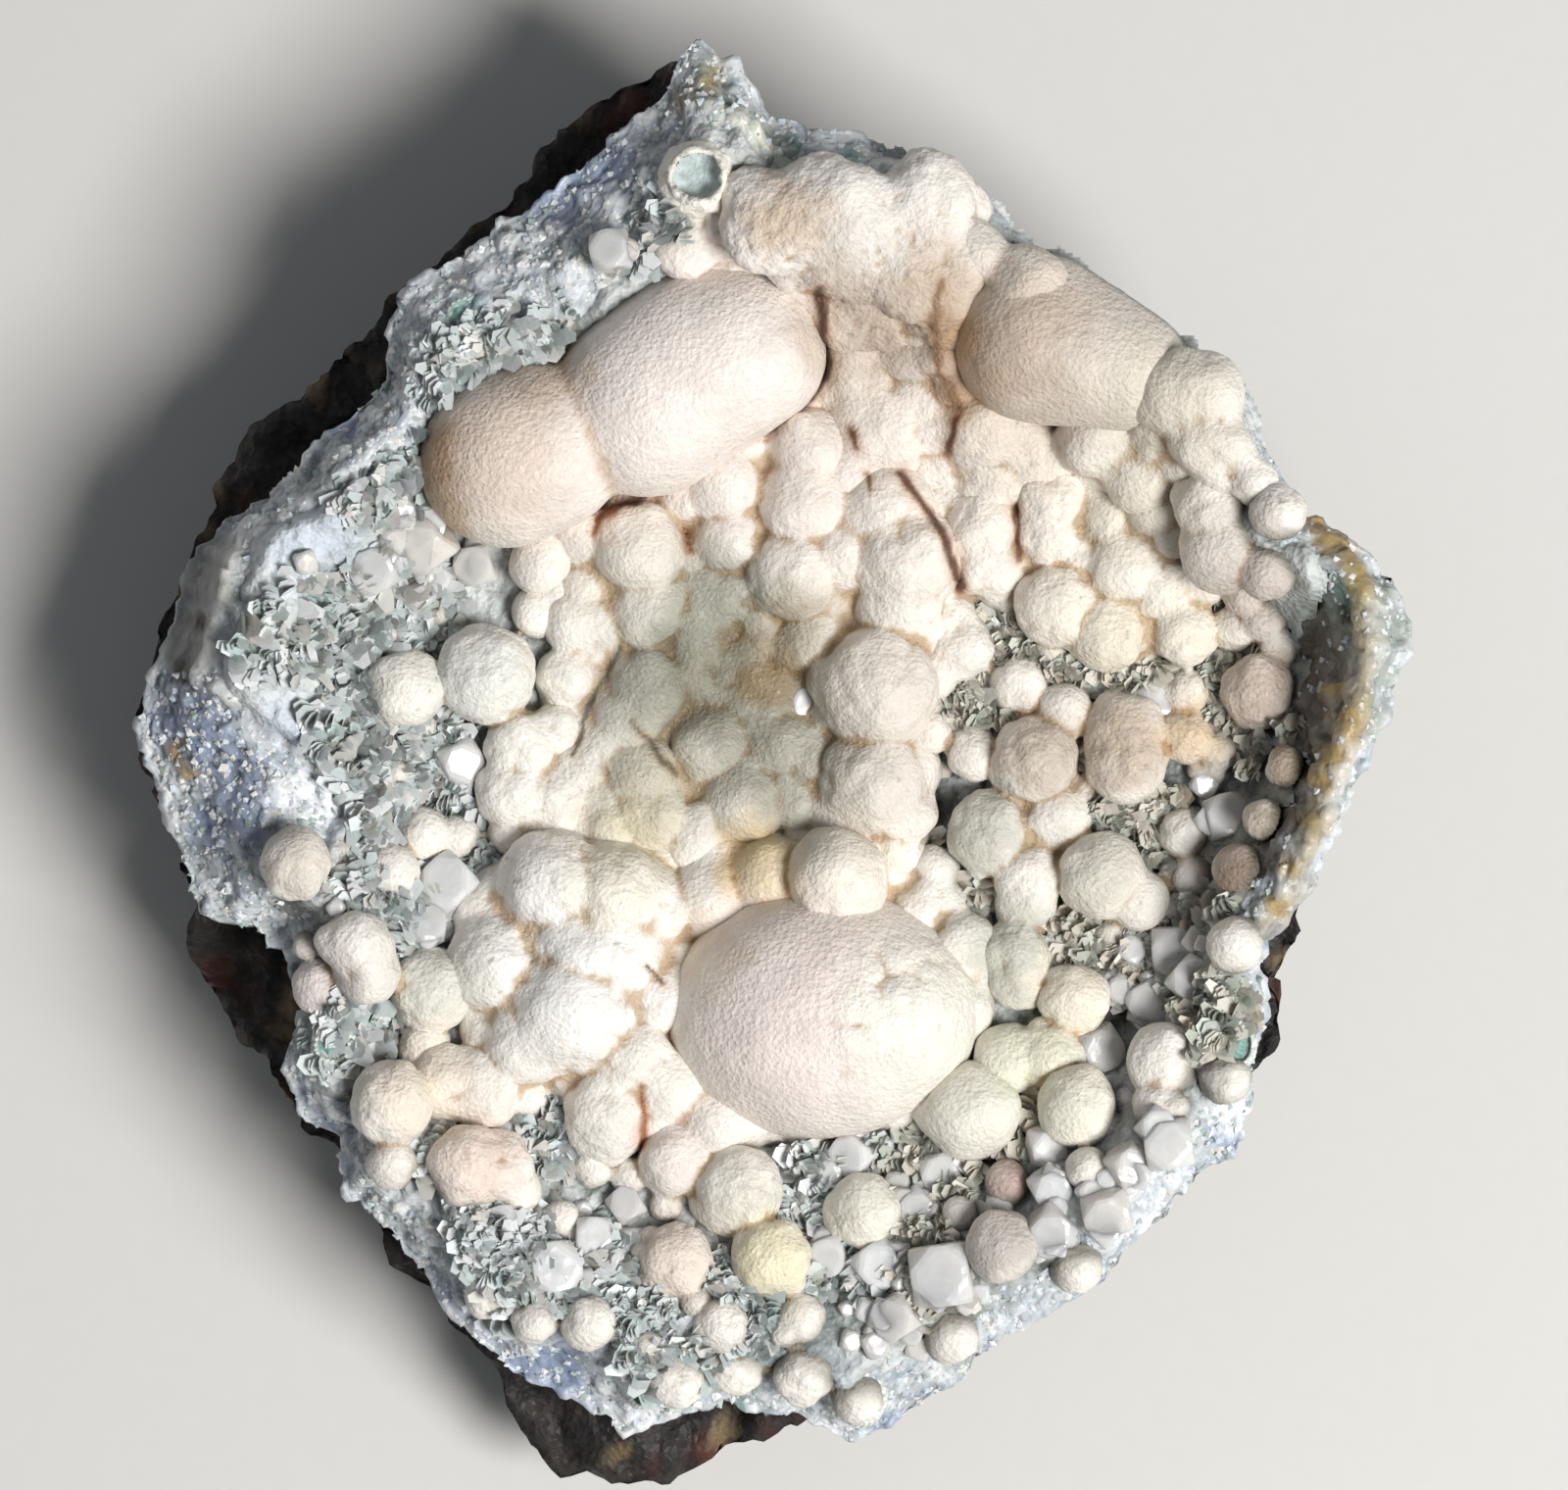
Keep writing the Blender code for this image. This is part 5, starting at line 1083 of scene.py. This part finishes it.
def makeDruse(balls):
    pitch = druse["pitch"]
    xs = np.arange(-64.0, 64.0, pitch)
    ys = np.arange(-72.0, 72.0, pitch)
    gx, gy = np.meshgrid(xs, ys)
    x, y = gx.ravel(), gy.ravel()
    direction = np.arctan2(y, x)
    inset = byDirection(crustInset, 1, direction)
    inside = edgeReach(liningEdge, direction) - inset - np.hypot(x, y)
    base = np.column_stack([x, y, 0.0 * x])
    inside = inside + 1.2 * roughness(base, 4.0, 81)
    height = liningTop(x, y) + (bowl["druse"] + 0.9) * smoothStep((inside + 0.6) / 3.0) - 0.8
    base[:, 2] = height
    near, _, own = chips(base, druse["chip"][0], 82)
    _, smallGap, smallOwn = chips(base, druse["point"][0], 85)
    push = druse["swell"][1] * roughness(base, druse["swell"][0], 83)
    push += druse["chip"][1] * (own - 0.8 * near) + druse["point"][1] * (smallOwn - smallGap)
    base[:, 2] += push * smoothStep((inside + 1.0) / 2.0)
    centres = np.array([ball[:3] for ball in balls])
    radii = np.array([ball[3:] for ball in balls])
    under = np.full(len(base), 9.0)
    for start in range(0, len(base), 20000):
        part = (base[start:start + 20000, None, :] - centres[None, :, :]) / radii[None, :, :]
        gaps = (np.linalg.norm(part, axis=2) - 1.0) * radii.min(axis=1)[None, :]
        under[start:start + 20000] = gaps.min(axis=1)
    keep = (inside > -0.9) & (under > -druse["hidden"])
    rows, count = gx.shape
    corner = np.arange(rows * count).reshape(rows, count)
    quads = [corner[:-1, :-1], corner[:-1, 1:], corner[1:, 1:], corner[1:, :-1]]
    faces = np.stack(quads, axis=-1).reshape(-1, 4)
    faces = faces[keep[faces].all(axis=1)]
    used, faces = np.unique(faces, return_inverse=True)
    points, under = base[used], under[used]
    push = push[used]
    obj = newObject("druse_floor", points, faces.reshape(-1, 4), materials["whiteDruse"])
    colors = np.tile(linear(druse["color"]), (len(points), 1))
    for name in ("bluish", "warm", "green"):
        dab(points, colors, druse[name + "Spots"], druse[name], fade=0.7)
    patchy = smoothStep((roughness(points, 4.0, 86) + 0.1) / 0.9)[:, None]
    colors += (linear(druse["green"]) - colors) * 0.35 * patchy
    # painted shade: darker in the dips of the druse and close beside and under the globules
    low = smoothStep((0.15 - push) / 0.9)[:, None]
    colors += (linear(druse["dark"]) - colors) * 0.3 * low
    shaded = np.exp(-np.maximum(under, 0.0) / 1.2)[:, None]
    colors += (linear(druse["dark"]) - colors) * 0.5 * shaded
    # painted shadow: dark spots in the deep gaps between the globules
    dab(points, colors, druse["shadowSpots"], druse["shadowTone"], fade=0.9)
    setColors(obj.data, colors)
    print("druse:", len(faces) // 4 * 2, "triangles")
    return obj


balls = sortBalls()
skins = [makeMass(massName, massSettings, balls[massName]) for massName, massSettings in masses.items()]
everyBall = [ball for group in balls.values() for ball in group]
druseSkin = makeDruse(everyBall)


# Small things that stand on the druse and the rim

def treeOf(obj):
    mesh = obj.data
    corners = np.empty(len(mesh.loops), dtype=np.int32)
    mesh.loops.foreach_get("vertex_index", corners)
    return BVHTree.FromPolygons(getPoints(mesh).tolist(), corners.reshape(-1, 4).tolist())


druseTree, rimTree = treeOf(druseSkin), treeOf(rimSkin)
globuleTrees = [treeOf(skin) for skin in skins]


def landOn(tree, x, y):  # where a plumb line from above first meets a skin
    hit, normal = tree.ray_cast(Vector((x, y, 80.0)), Vector((0.0, 0.0, -1.0)))[:2]
    return hit, normal if normal is None or normal.z > 0.0 else -normal


def openGround(x, y, clearance):  # a spot on the druse that no globule covers
    hit = landOn(druseTree, x, y)[0]
    if hit is None:
        return None
    for tree in globuleTrees:
        over = landOn(tree, x, y)[0]
        if over is not None and over.z > hit.z + clearance:
            return None
    return hit


class Pieces:  # gathers many small shapes into one mesh

    def __init__(self):
        self.points, self.faces, self.colors, self.count = [], [], [], 0

    def add(self, points, faces, color):
        self.points.append(np.asarray(points))
        self.faces += [[k + self.count for k in face] for face in faces]
        self.colors.append(np.broadcast_to(np.asarray(color), (len(points), 3)))
        self.count += len(points)

    def finish(self, name, material, slot):
        obj = newObject(name, np.concatenate(self.points), self.faces, material, smooth=False)
        setColors(obj.data, np.concatenate(self.colors))
        print(name + ":", sum(len(face) - 2 for face in self.faces), "triangles")
        return obj


def groundAt(x, y):
    return float(druseHeight(np.array([x]), np.array([y]))[0])


crystals = {
    "corner": 0.75, "edge": 0.22, "pairFrom": 2.15,   # the larger ones are two grown together
    "colors": ["#EFEDE9", "#F5F4F1", "#E4E2DF", "#EFEAE2"],
    # small ones by zone: x, y, reach, how many
    "scattered": [(-40, 19, 7, 12), (-34, 22, 5, 8), (-34, -1, 5, 7), (-35, -12, 6, 10), (-31, -16, 4, 5),
                  (44, 1, 5, 6), (42, -18, 6, 12), (38, -24, 5, 10), (31, -44, 8, 22), (16, -52, 8, 18),
                  (-18, -48, 6, 12), (9, -42, 5, 8), (38, -40, 6, 12), (-6, -46, 5, 5), (30, -6, 4, 4),
                  (-45, -12, 3, 3), (24, 13, 4, 4), (12, -55, 6, 8)],
    "small": (0.7, 1.5),
}


def addBlock(pieces, rng, middle, size, turn, segments):
    block = bmesh.new()
    bmesh.ops.create_cube(block, size=2.0)
    for vert in block.verts:
        vert.co = Vector([part * size * rng.uniform(0.86, 1.08) for part in vert.co])
        vert.co.z *= 0.92
    bmesh.ops.bevel(block, geom=block.verts[:], offset=crystals["corner"] * size, affect='VERTICES',
                    segments=1, profile=0.5)
    bmesh.ops.bevel(block, geom=block.edges[:], offset=crystals["edge"] * size, affect='EDGES',
                    segments=segments, profile=0.6)
    lean = [math.radians(rng.uniform(-1, 1) * crust["crystalLean"]) for axis in range(2)]
    tilt = Matrix.Rotation(lean[0], 4, 'X') @ Matrix.Rotation(lean[1], 4, 'Y')
    block.transform(Matrix.Translation(middle) @ Matrix.Rotation(math.radians(turn), 4, 'Z') @ tilt)
    points = [vert.co[:] for vert in block.verts]
    faces = [[vert.index for vert in face.verts] for face in block.faces]
    block.free()
    pieces.add(points, faces, linear(rng.choice(crystals["colors"])))


def makeCrystals():
    rng = random.Random(11)
    pieces = Pieces()
    for x, y, half, turn in crystalSpots:
        for k in range(1 if half < crystals["pairFrom"] else 2):
            size = half * (0.92 if k == 0 else 0.66)
            shiftX, shiftY = [0.0 if k == 0 else rng.uniform(-0.6, 0.6) * half for axis in range(2)]
            lift = crust["crystalRaise"] + (0.3 if k == 0 else 0.2 * half)
            middle = (x + shiftX, y + shiftY, groundAt(x, y) + lift)
            addBlock(pieces, rng, middle, size, turn + 37.0 * k, 2)
    for x, y, reach, count in crystals["scattered"]:
        for k in range(count):
            turn, far = rng.uniform(0.0, math.tau), reach * math.sqrt(rng.random())
            spot = openGround(x + far * math.cos(turn), y + far * math.sin(turn), 0.4)
            size = rng.uniform(*crystals["small"])
            if spot is not None:
                middle = spot + Vector((0.0, 0.0, 0.35 * size))
                addBlock(pieces, rng, middle, size, rng.uniform(0.0, 90.0), 1)
    pieces.finish("clear_blocks", materials["milkyCrystal"], "globule_crust")


makeCrystals()

# the root colours paint shade at the foot of the blades
blades = {
    "sheaves": 3100, "inSheaf": (2, 5), "length": (1.9, 3.8), "width": (1.3, 2.5), "thick": 0.14,
    "spacing": 0.38, "lean": (15.0, 75.0), "curl": (-0.1, 0.22), "root": "#96A094", "rootShadeOnRight": 0.4,
    "colors": ["#F5F7F6", "#E8EEEC", "#D9E2DF", "#ECE9E1", "#F9FAF9", "#CCD8D4", "#E0E7E5"],
    "rightTint": "#F3ECE1", "rightFrom": 12.0,   # warmer on the right, darker at the foot
    "zones": [   # x, y, reach, share
        (-31, 39, 5, 1.0), (-25, 47, 5, 1.0), (-18, 55, 5, 1.0), (-12, 55, 4, 0.8), (-38, 34, 4, 0.5),
        (-39, 28, 4, 0.8), (-38, 16, 6, 1.0), (-44, 14, 6, 0.5), (-36, 4, 6, 1.0), (-41, 4, 5, 0.7),
        (-34, -8, 7, 1.2), (-37, -14, 6, 1.0), (-43, -26, 5, 1.0), (-22, -37, 5, 1.0),
        (-27, -47, 5, 1.0), (-25, -54, 5, 0.8), (-8, -57, 7, 1.3), (24, 10, 6, 1.2), (20, 5, 6, 1.2),
        (27, 9, 5, 1.2), (37, -5, 5, 1.2), (31, -12, 6, 1.2), (36, -19, 5, 1.2), (43, -12, 5, 1.2),
        (19, -42, 4, 0.8), (47, 10, 6, 1.2), (50, 3, 4, 0.8), (8, -46, 7, 1.0), (-2, -52, 7, 1.0),
        (15, -50, 6, 0.8), (-50, 12, 4, 0.4), (13, -35, 4, 0.6), (26, -35, 5, 0.8), (45, -25, 4, 0.8),
        (-40, -3, 4, 0.5), (30, -3, 6, 1.0), (20, -12, 5, 1.0), (42, 8, 5, 1.0), (33, 8, 5, 1.0),
        (-20, -52, 6, 0.8), (-32, -37, 5, 0.8)],
}


def addBlade(pieces, base, up, along, length, width, curl, color):
    side = up.cross(along).normalized()
    outline = [(0.0, -0.40), (0.50, -0.5), (1.0, -0.22), (1.0, 0.22), (0.50, 0.5), (0.0, 0.40)]
    points = [base + along * (u * length) + side * (v * width) + up * (curl * u * u * length)
              for u, v in outline]
    middle = base + along * (0.5 * length) + up * (curl * 0.25 * length)
    points += [middle + up * 0.5 * blades["thick"], middle - up * 0.5 * blades["thick"]]
    count = len(outline)
    faces = [[k, (k + 1) % count, count] for k in range(count)]
    faces += [[(k + 1) % count, k, count + 1] for k in range(count)]
    # painted shade: the root of each blade darker, darker still on the right, and the underside of each
    # blade darker than its top
    root = linear(blades["root"]) * (blades["rootShadeOnRight"] if base.x > blades["rightFrom"] else 1.0)
    tonesWithShade = [root * 0.7, color, color, color, color, root * 0.7, color * 0.85, color * 0.55]
    pieces.add([point[:] for point in points], faces, tonesWithShade)


def makeBlades():
    rng = random.Random(21)
    pieces = Pieces()
    weights = [zone[3] * zone[2] ** 2 for zone in blades["zones"]]
    made = 0
    for _ in range(6 * blades["sheaves"]):
        if made == blades["sheaves"]:
            break
        zoneX, zoneY, reach = rng.choices(blades["zones"], weights)[0][:3]
        distance, turn = reach * math.sqrt(rng.random()) * 1.1, rng.uniform(0.0, math.tau)
        spot = openGround(zoneX + distance * math.cos(turn), zoneY + distance * math.sin(turn), 0.6)
        if spot is None:
            continue
        made += 1
        heading = rng.uniform(0.0, math.tau)
        stack = rng.randint(*blades["inSheaf"])
        lean = math.radians(rng.uniform(*blades["lean"]))
        tone = linear(rng.choice(blades["colors"])) * rng.uniform(0.8, 1.0)
        if spot.x > blades["rightFrom"]:
            tone = tone * linear(blades["rightTint"])
        length, width = rng.uniform(*blades["length"]), rng.uniform(*blades["width"])
        for k in range(stack):
            order = k - 0.5 * stack
            swing = heading + order * 0.20 + rng.uniform(-0.12, 0.12)
            tip = lean + order * 0.16 + rng.uniform(-0.08, 0.08)
            east, north = math.cos(swing), math.sin(swing)
            along = Vector((east * math.cos(tip), north * math.cos(tip), math.sin(tip)))
            up = Vector((-east * math.sin(tip), -north * math.sin(tip), math.cos(tip)))
            apart = Vector((math.cos(heading), math.sin(heading), 0.0)) * blades["spacing"] * order
            base = spot - apart - along * 0.3 * length
            addBlade(pieces, base, up, along, length * rng.uniform(0.7, 1.15),
                     width * rng.uniform(0.75, 1.1), rng.uniform(*blades["curl"]),
                     tone * rng.uniform(0.85, 1.05))
    pieces.finish("blades", materials["pearlyBlades"], "globule_crust")


makeBlades()

rimChips = {
    "count": 3600, "size": (0.25, 0.75), "inset": (0.2, 17.0),
    "stainWidth": 1.5, "leftOutOnStain": 0.85,   # few stand on the ochre ridge and the brown stains
    "colors": ["#F0F1EE", "#E4E7E8", "#D9DFE4", "#CCD5DE", "#C4CFCC", "#ECE8DE", "#F4F4F2", "#B0BEB8"],
}


def makeRimChips():  # broken bits of the crust, half sunk in it
    rng = random.Random(31)
    pieces = Pieces()
    faces = [[0, 1, 4], [1, 2, 4], [2, 3, 4], [3, 0, 4], [1, 0, 5], [2, 1, 5], [3, 2, 5], [0, 3, 5]]
    while pieces.count < 6 * rimChips["count"]:
        turn = rng.uniform(-math.pi, math.pi)
        inset = rng.uniform(*rimChips["inset"])
        reach = float(edgeReach(liningEdge, turn)) - inset
        x, y = reach * math.cos(turn), reach * math.sin(turn)
        bare = float(byDirection(crustInset, 1, turn)) + 1.0
        smooth = any(math.hypot(x - sx, y - sy) < size for sx, sy, size in lining["greySmooth"])
        fromRidge = float(lineDistance(np.array([x]), np.array([y]), ridges[0][3])[0])
        inBrown = any(math.hypot(x - bx, y - by) < size for bx, by, size in lining["brown"])
        stained = fromRidge < rimChips["stainWidth"] or inBrown
        if inset > bare or smooth or (stained and rng.random() < rimChips["leftOutOnStain"]):
            continue
        spot, normal = landOn(rimTree, x, y)
        if spot is None:
            continue
        size = rng.uniform(*rimChips["size"])
        tilt = Vector((rng.uniform(-0.8, 0.8), rng.uniform(-0.8, 0.8), 1.0)) + normal
        tilt.normalize()
        first = tilt.orthogonal().normalized()
        first.rotate(Matrix.Rotation(rng.uniform(0.0, math.tau), 3, tilt))
        second = tilt.cross(first)
        ring = [first, second, -first, -second]
        points = [spot + arm * size * rng.uniform(0.5, 1.0) for arm in ring]
        points += [spot + tilt * size * rng.uniform(0.12, 0.3), spot - tilt * size * 0.5]
        tone = linear(rng.choice(rimChips["colors"])) * rng.uniform(0.8, 1.0)
        pieces.add([point[:] for point in points], faces, tone)
    pieces.finish("rim_chips", materials["whiteDruse"], "chalcedony")


makeRimChips()

brokenCup = {
    "at": (-7.0, 59.4), "outer": 4.0, "hollow": 3.05, "depth": 1.7, "around": 90,
    "lip": "#F1EBDF", "inner": "#B2C1C0",
}


def turned(x, y, section, count):  # a shape turned about an upright line; section is radius, height
    turn = np.linspace(0.0, math.tau, count, endpoint=False)
    rows = [np.column_stack([x + r * np.cos(turn), y + r * np.sin(turn), z + 0.0 * turn])
            for r, z in section]
    return np.concatenate(rows), ringFaces(count, len(rows))


def makeCup():  # a hollow globule with its top broken off
    x, y = brokenCup["at"]
    outer, hollow, depth = brokenCup["outer"], brokenCup["hollow"], brokenCup["depth"]
    middle = groundAt(x, y) + crust["cupRaise"]
    wall = [math.radians(-60.0 + 115.0 * k / 13.0) for k in range(14)]
    section = [(outer * math.cos(angle), middle + outer * math.sin(angle)) for angle in wall]
    top = middle + 0.82 * outer
    inwards = [math.radians(6.9 * k) for k in range(13)]
    section += [(hollow * math.cos(angle), top - depth * math.sin(angle)) for angle in inwards]
    section.append((0.01, top - depth))
    points, faces = turned(x, y, section, brokenCup["around"])
    obj = newObject("broken_cup", points, faces, materials["velvetGlobules"])
    inner = np.arange(len(points)) >= len(wall) * brokenCup["around"]
    rim = np.exp(-((points[:, 2] - top) / 0.7) ** 2)
    push = 0.30 * roughness(points, 1.8, 101) + 0.22 * lumps(points, 0.8, 102)
    push *= np.where(inner, 0.4, 1.0)
    points = points + getNormals(obj.data) * push[:, None]
    points[:, 2] += 0.55 * rim * lumps(points, 1.5, 103)
    setPoints(obj.data, points)
    colors = np.tile(linear(brokenCup["lip"]), (len(points), 1))
    blue = smoothStep((0.5 - rim) / 0.5)[:, None] * inner[:, None] * 0.9
    mottle = (1.0 + 0.35 * lumps(points, 0.7, 104))[:, None]
    colors += (linear(brokenCup["inner"]) * mottle - colors) * blue
    setColors(obj.data, colors)
    print("cup ready")


makeCup()

rosettes = {
    "core": "#86ABA2", "ring": "#E4E7E0", "gap": "#6E7B72", "around": 72, "ribs": 11.0,
    # x, y, core radius, ring radius, height
    "list": [(-9.6, -62.6, 1.5, 3.5, 1.6), (-4.5, -57.5, 1.3, 2.9, 1.4), (9.4, -65.0, 1.6, 3.0, 1.2),
             (-28.9, -54.1, 1.2, 2.2, 1.2), (-44.2, -28.6, 1.3, 2.4, 1.2), (-30.7, 45.4, 1.5, 2.3, 0.9),
             (-46.4, 17.6, 1.7, 2.5, 0.8), (47.3, -28.6, 1.8, 2.7, 0.9), (-49.7, 10.4, 0.9, 1.5, 0.7),
             (-39.6, 26.4, 1.5, 2.0, 0.8), (38.5, -4.6, 1.0, 1.8, 0.9), (-12.7, -64.4, 0.9, 1.7, 0.9)],
}


def makeRosettes():  # blades grown in a ring about a green core
    allPoints, allFaces, allColors, count = [], [], [], 0
    for x, y, core, ring, height in rosettes["list"]:
        spot = landOn(druseTree, x, y)[0]
        if spot is None:
            spot = landOn(rimTree, x, y)[0]
        if spot is None:
            continue
        base = spot.z - 0.5
        profile = [(0.01, 0.8), (0.5, 0.75), (0.8, 0.6), (1.0, 0.4)]
        section = [(core * r, base + height * z) for r, z in profile]
        for k in range(1, 13):
            share = k / 12.0
            rise = height * (0.35 + 0.75 * math.sin(math.pi * share ** 0.8)) - 0.6 * share
            section.append((core + (ring - core) * share, base + rise))
        points, faces = turned(x, y, section, rosettes["around"])
        radius = np.hypot(points[:, 0] - x, points[:, 1] - y)
        turn = np.arctan2(points[:, 1] - y, points[:, 0] - x)
        outward = smoothStep((radius - core) / 0.5)
        ribs = np.abs(np.sin(turn * rosettes["ribs"] + 3.0 * lumps(points, 1.6, 111)))
        points[:, 2] += outward * (0.5 * ribs - 0.25) + 0.22 * lumps(points, 0.7, 112)
        points[:, :2] += (0.25 * lumps(points, 1.3, 113) * outward)[:, None]
        colors = np.tile(linear(rosettes["core"]), (len(points), 1))
        # painted shade: the ribs darker in their grooves, and a dark ring where the core meets the ring of
        # blades
        colors += (linear(rosettes["ring"]) * (0.7 + 0.4 * ribs)[:, None] - colors) * outward[:, None]
        gap = np.exp(-((radius - core) / 0.25) ** 2)[:, None]
        colors += (linear(rosettes["gap"]) - colors) * 0.7 * gap
        allPoints.append(points)
        allFaces.append(faces[:, ::-1] + count)
        allColors.append(colors)
        count += len(points)
    obj = newObject("rosettes", np.concatenate(allPoints), np.concatenate(allFaces),
                    materials["whiteDruse"])
    setColors(obj.data, np.concatenate(allColors))
    print("rosettes ready")


makeRosettes()


# A pale floor and soft light: a large box high at the right, and the room's light from all round

studio = {   # in metres
    "floor": "#D9D7D2", "floorReach": 3.0, "room": "#EDF0F4", "roomStrength": 0.11,
    "aim": (0.0, 0.0, 0.03),   # what the lamps point at
    "lamps": [   # name, place, side, watts, color
        ("softBox", (0.56, -0.32, 0.98), 0.45, 16.2, "#FFFFFF"),
        ("fill", (-0.9, 0.6, 0.9), 0.9, 1.5, "#E6EEFF")],
}


def makeStudio():
    floorMaterial = bpy.data.materials.new("paintedFloor")
    floorMaterial.use_nodes = True
    tree = floorMaterial.node_tree
    shader = tree.nodes["Principled BSDF"]
    place = addNode(tree, "ShaderNodeTexCoord", {}).outputs["Object"]
    grain = addNode(tree, "ShaderNodeTexNoise", {"Scale": 400.0, "Detail": 2.0}, {"Vector": place})
    shade = addNode(tree, "ShaderNodeMapRange", {"To Min": 0.97, "To Max": 1.0},
                    {"Value": grain.outputs["Fac"]})
    tone = addNode(tree, "ShaderNodeVectorMath", {"operation": 'SCALE'},
                   {"Scale": shade.outputs["Result"]})
    tone.inputs[0].default_value = linear(studio["floor"])
    tree.links.new(tone.outputs["Vector"], shader.inputs["Base Color"])
    shader.inputs["Roughness"].default_value = 0.8
    mesh = bpy.data.meshes.new("floor")
    far = studio["floorReach"]
    corners = [(-far, -far, 0.0), (far, -far, 0.0), (far, far, 0.0), (-far, far, 0.0)]
    mesh.from_pydata(corners, [], [(0, 1, 2, 3)])
    mesh.materials.append(floorMaterial)
    floor = bpy.data.objects.new("floor", mesh)
    bpy.context.scene.collection.objects.link(floor)
    for name, place, side, watts, hexColor in studio["lamps"]:
        data = bpy.data.lights.new(name, 'AREA')
        data.shape = 'SQUARE'
        data.size = side
        data.energy = watts
        data.color = linear(hexColor)
        lamp = bpy.data.objects.new(name, data)
        lamp.location = place
        toward = Vector(studio["aim"]) - Vector(place)
        lamp.rotation_euler = toward.to_track_quat('-Z', 'Y').to_euler()
        bpy.context.scene.collection.objects.link(lamp)
    world = bpy.data.worlds.new("room")
    world.use_nodes = True
    background = world.node_tree.nodes["Background"]
    background.inputs["Color"].default_value = (*linear(studio["room"]), 1.0)
    background.inputs["Strength"].default_value = studio["roomStrength"]
    bpy.context.scene.world = world
    bpy.context.scene.view_settings.view_transform = 'Standard'


makeStudio()
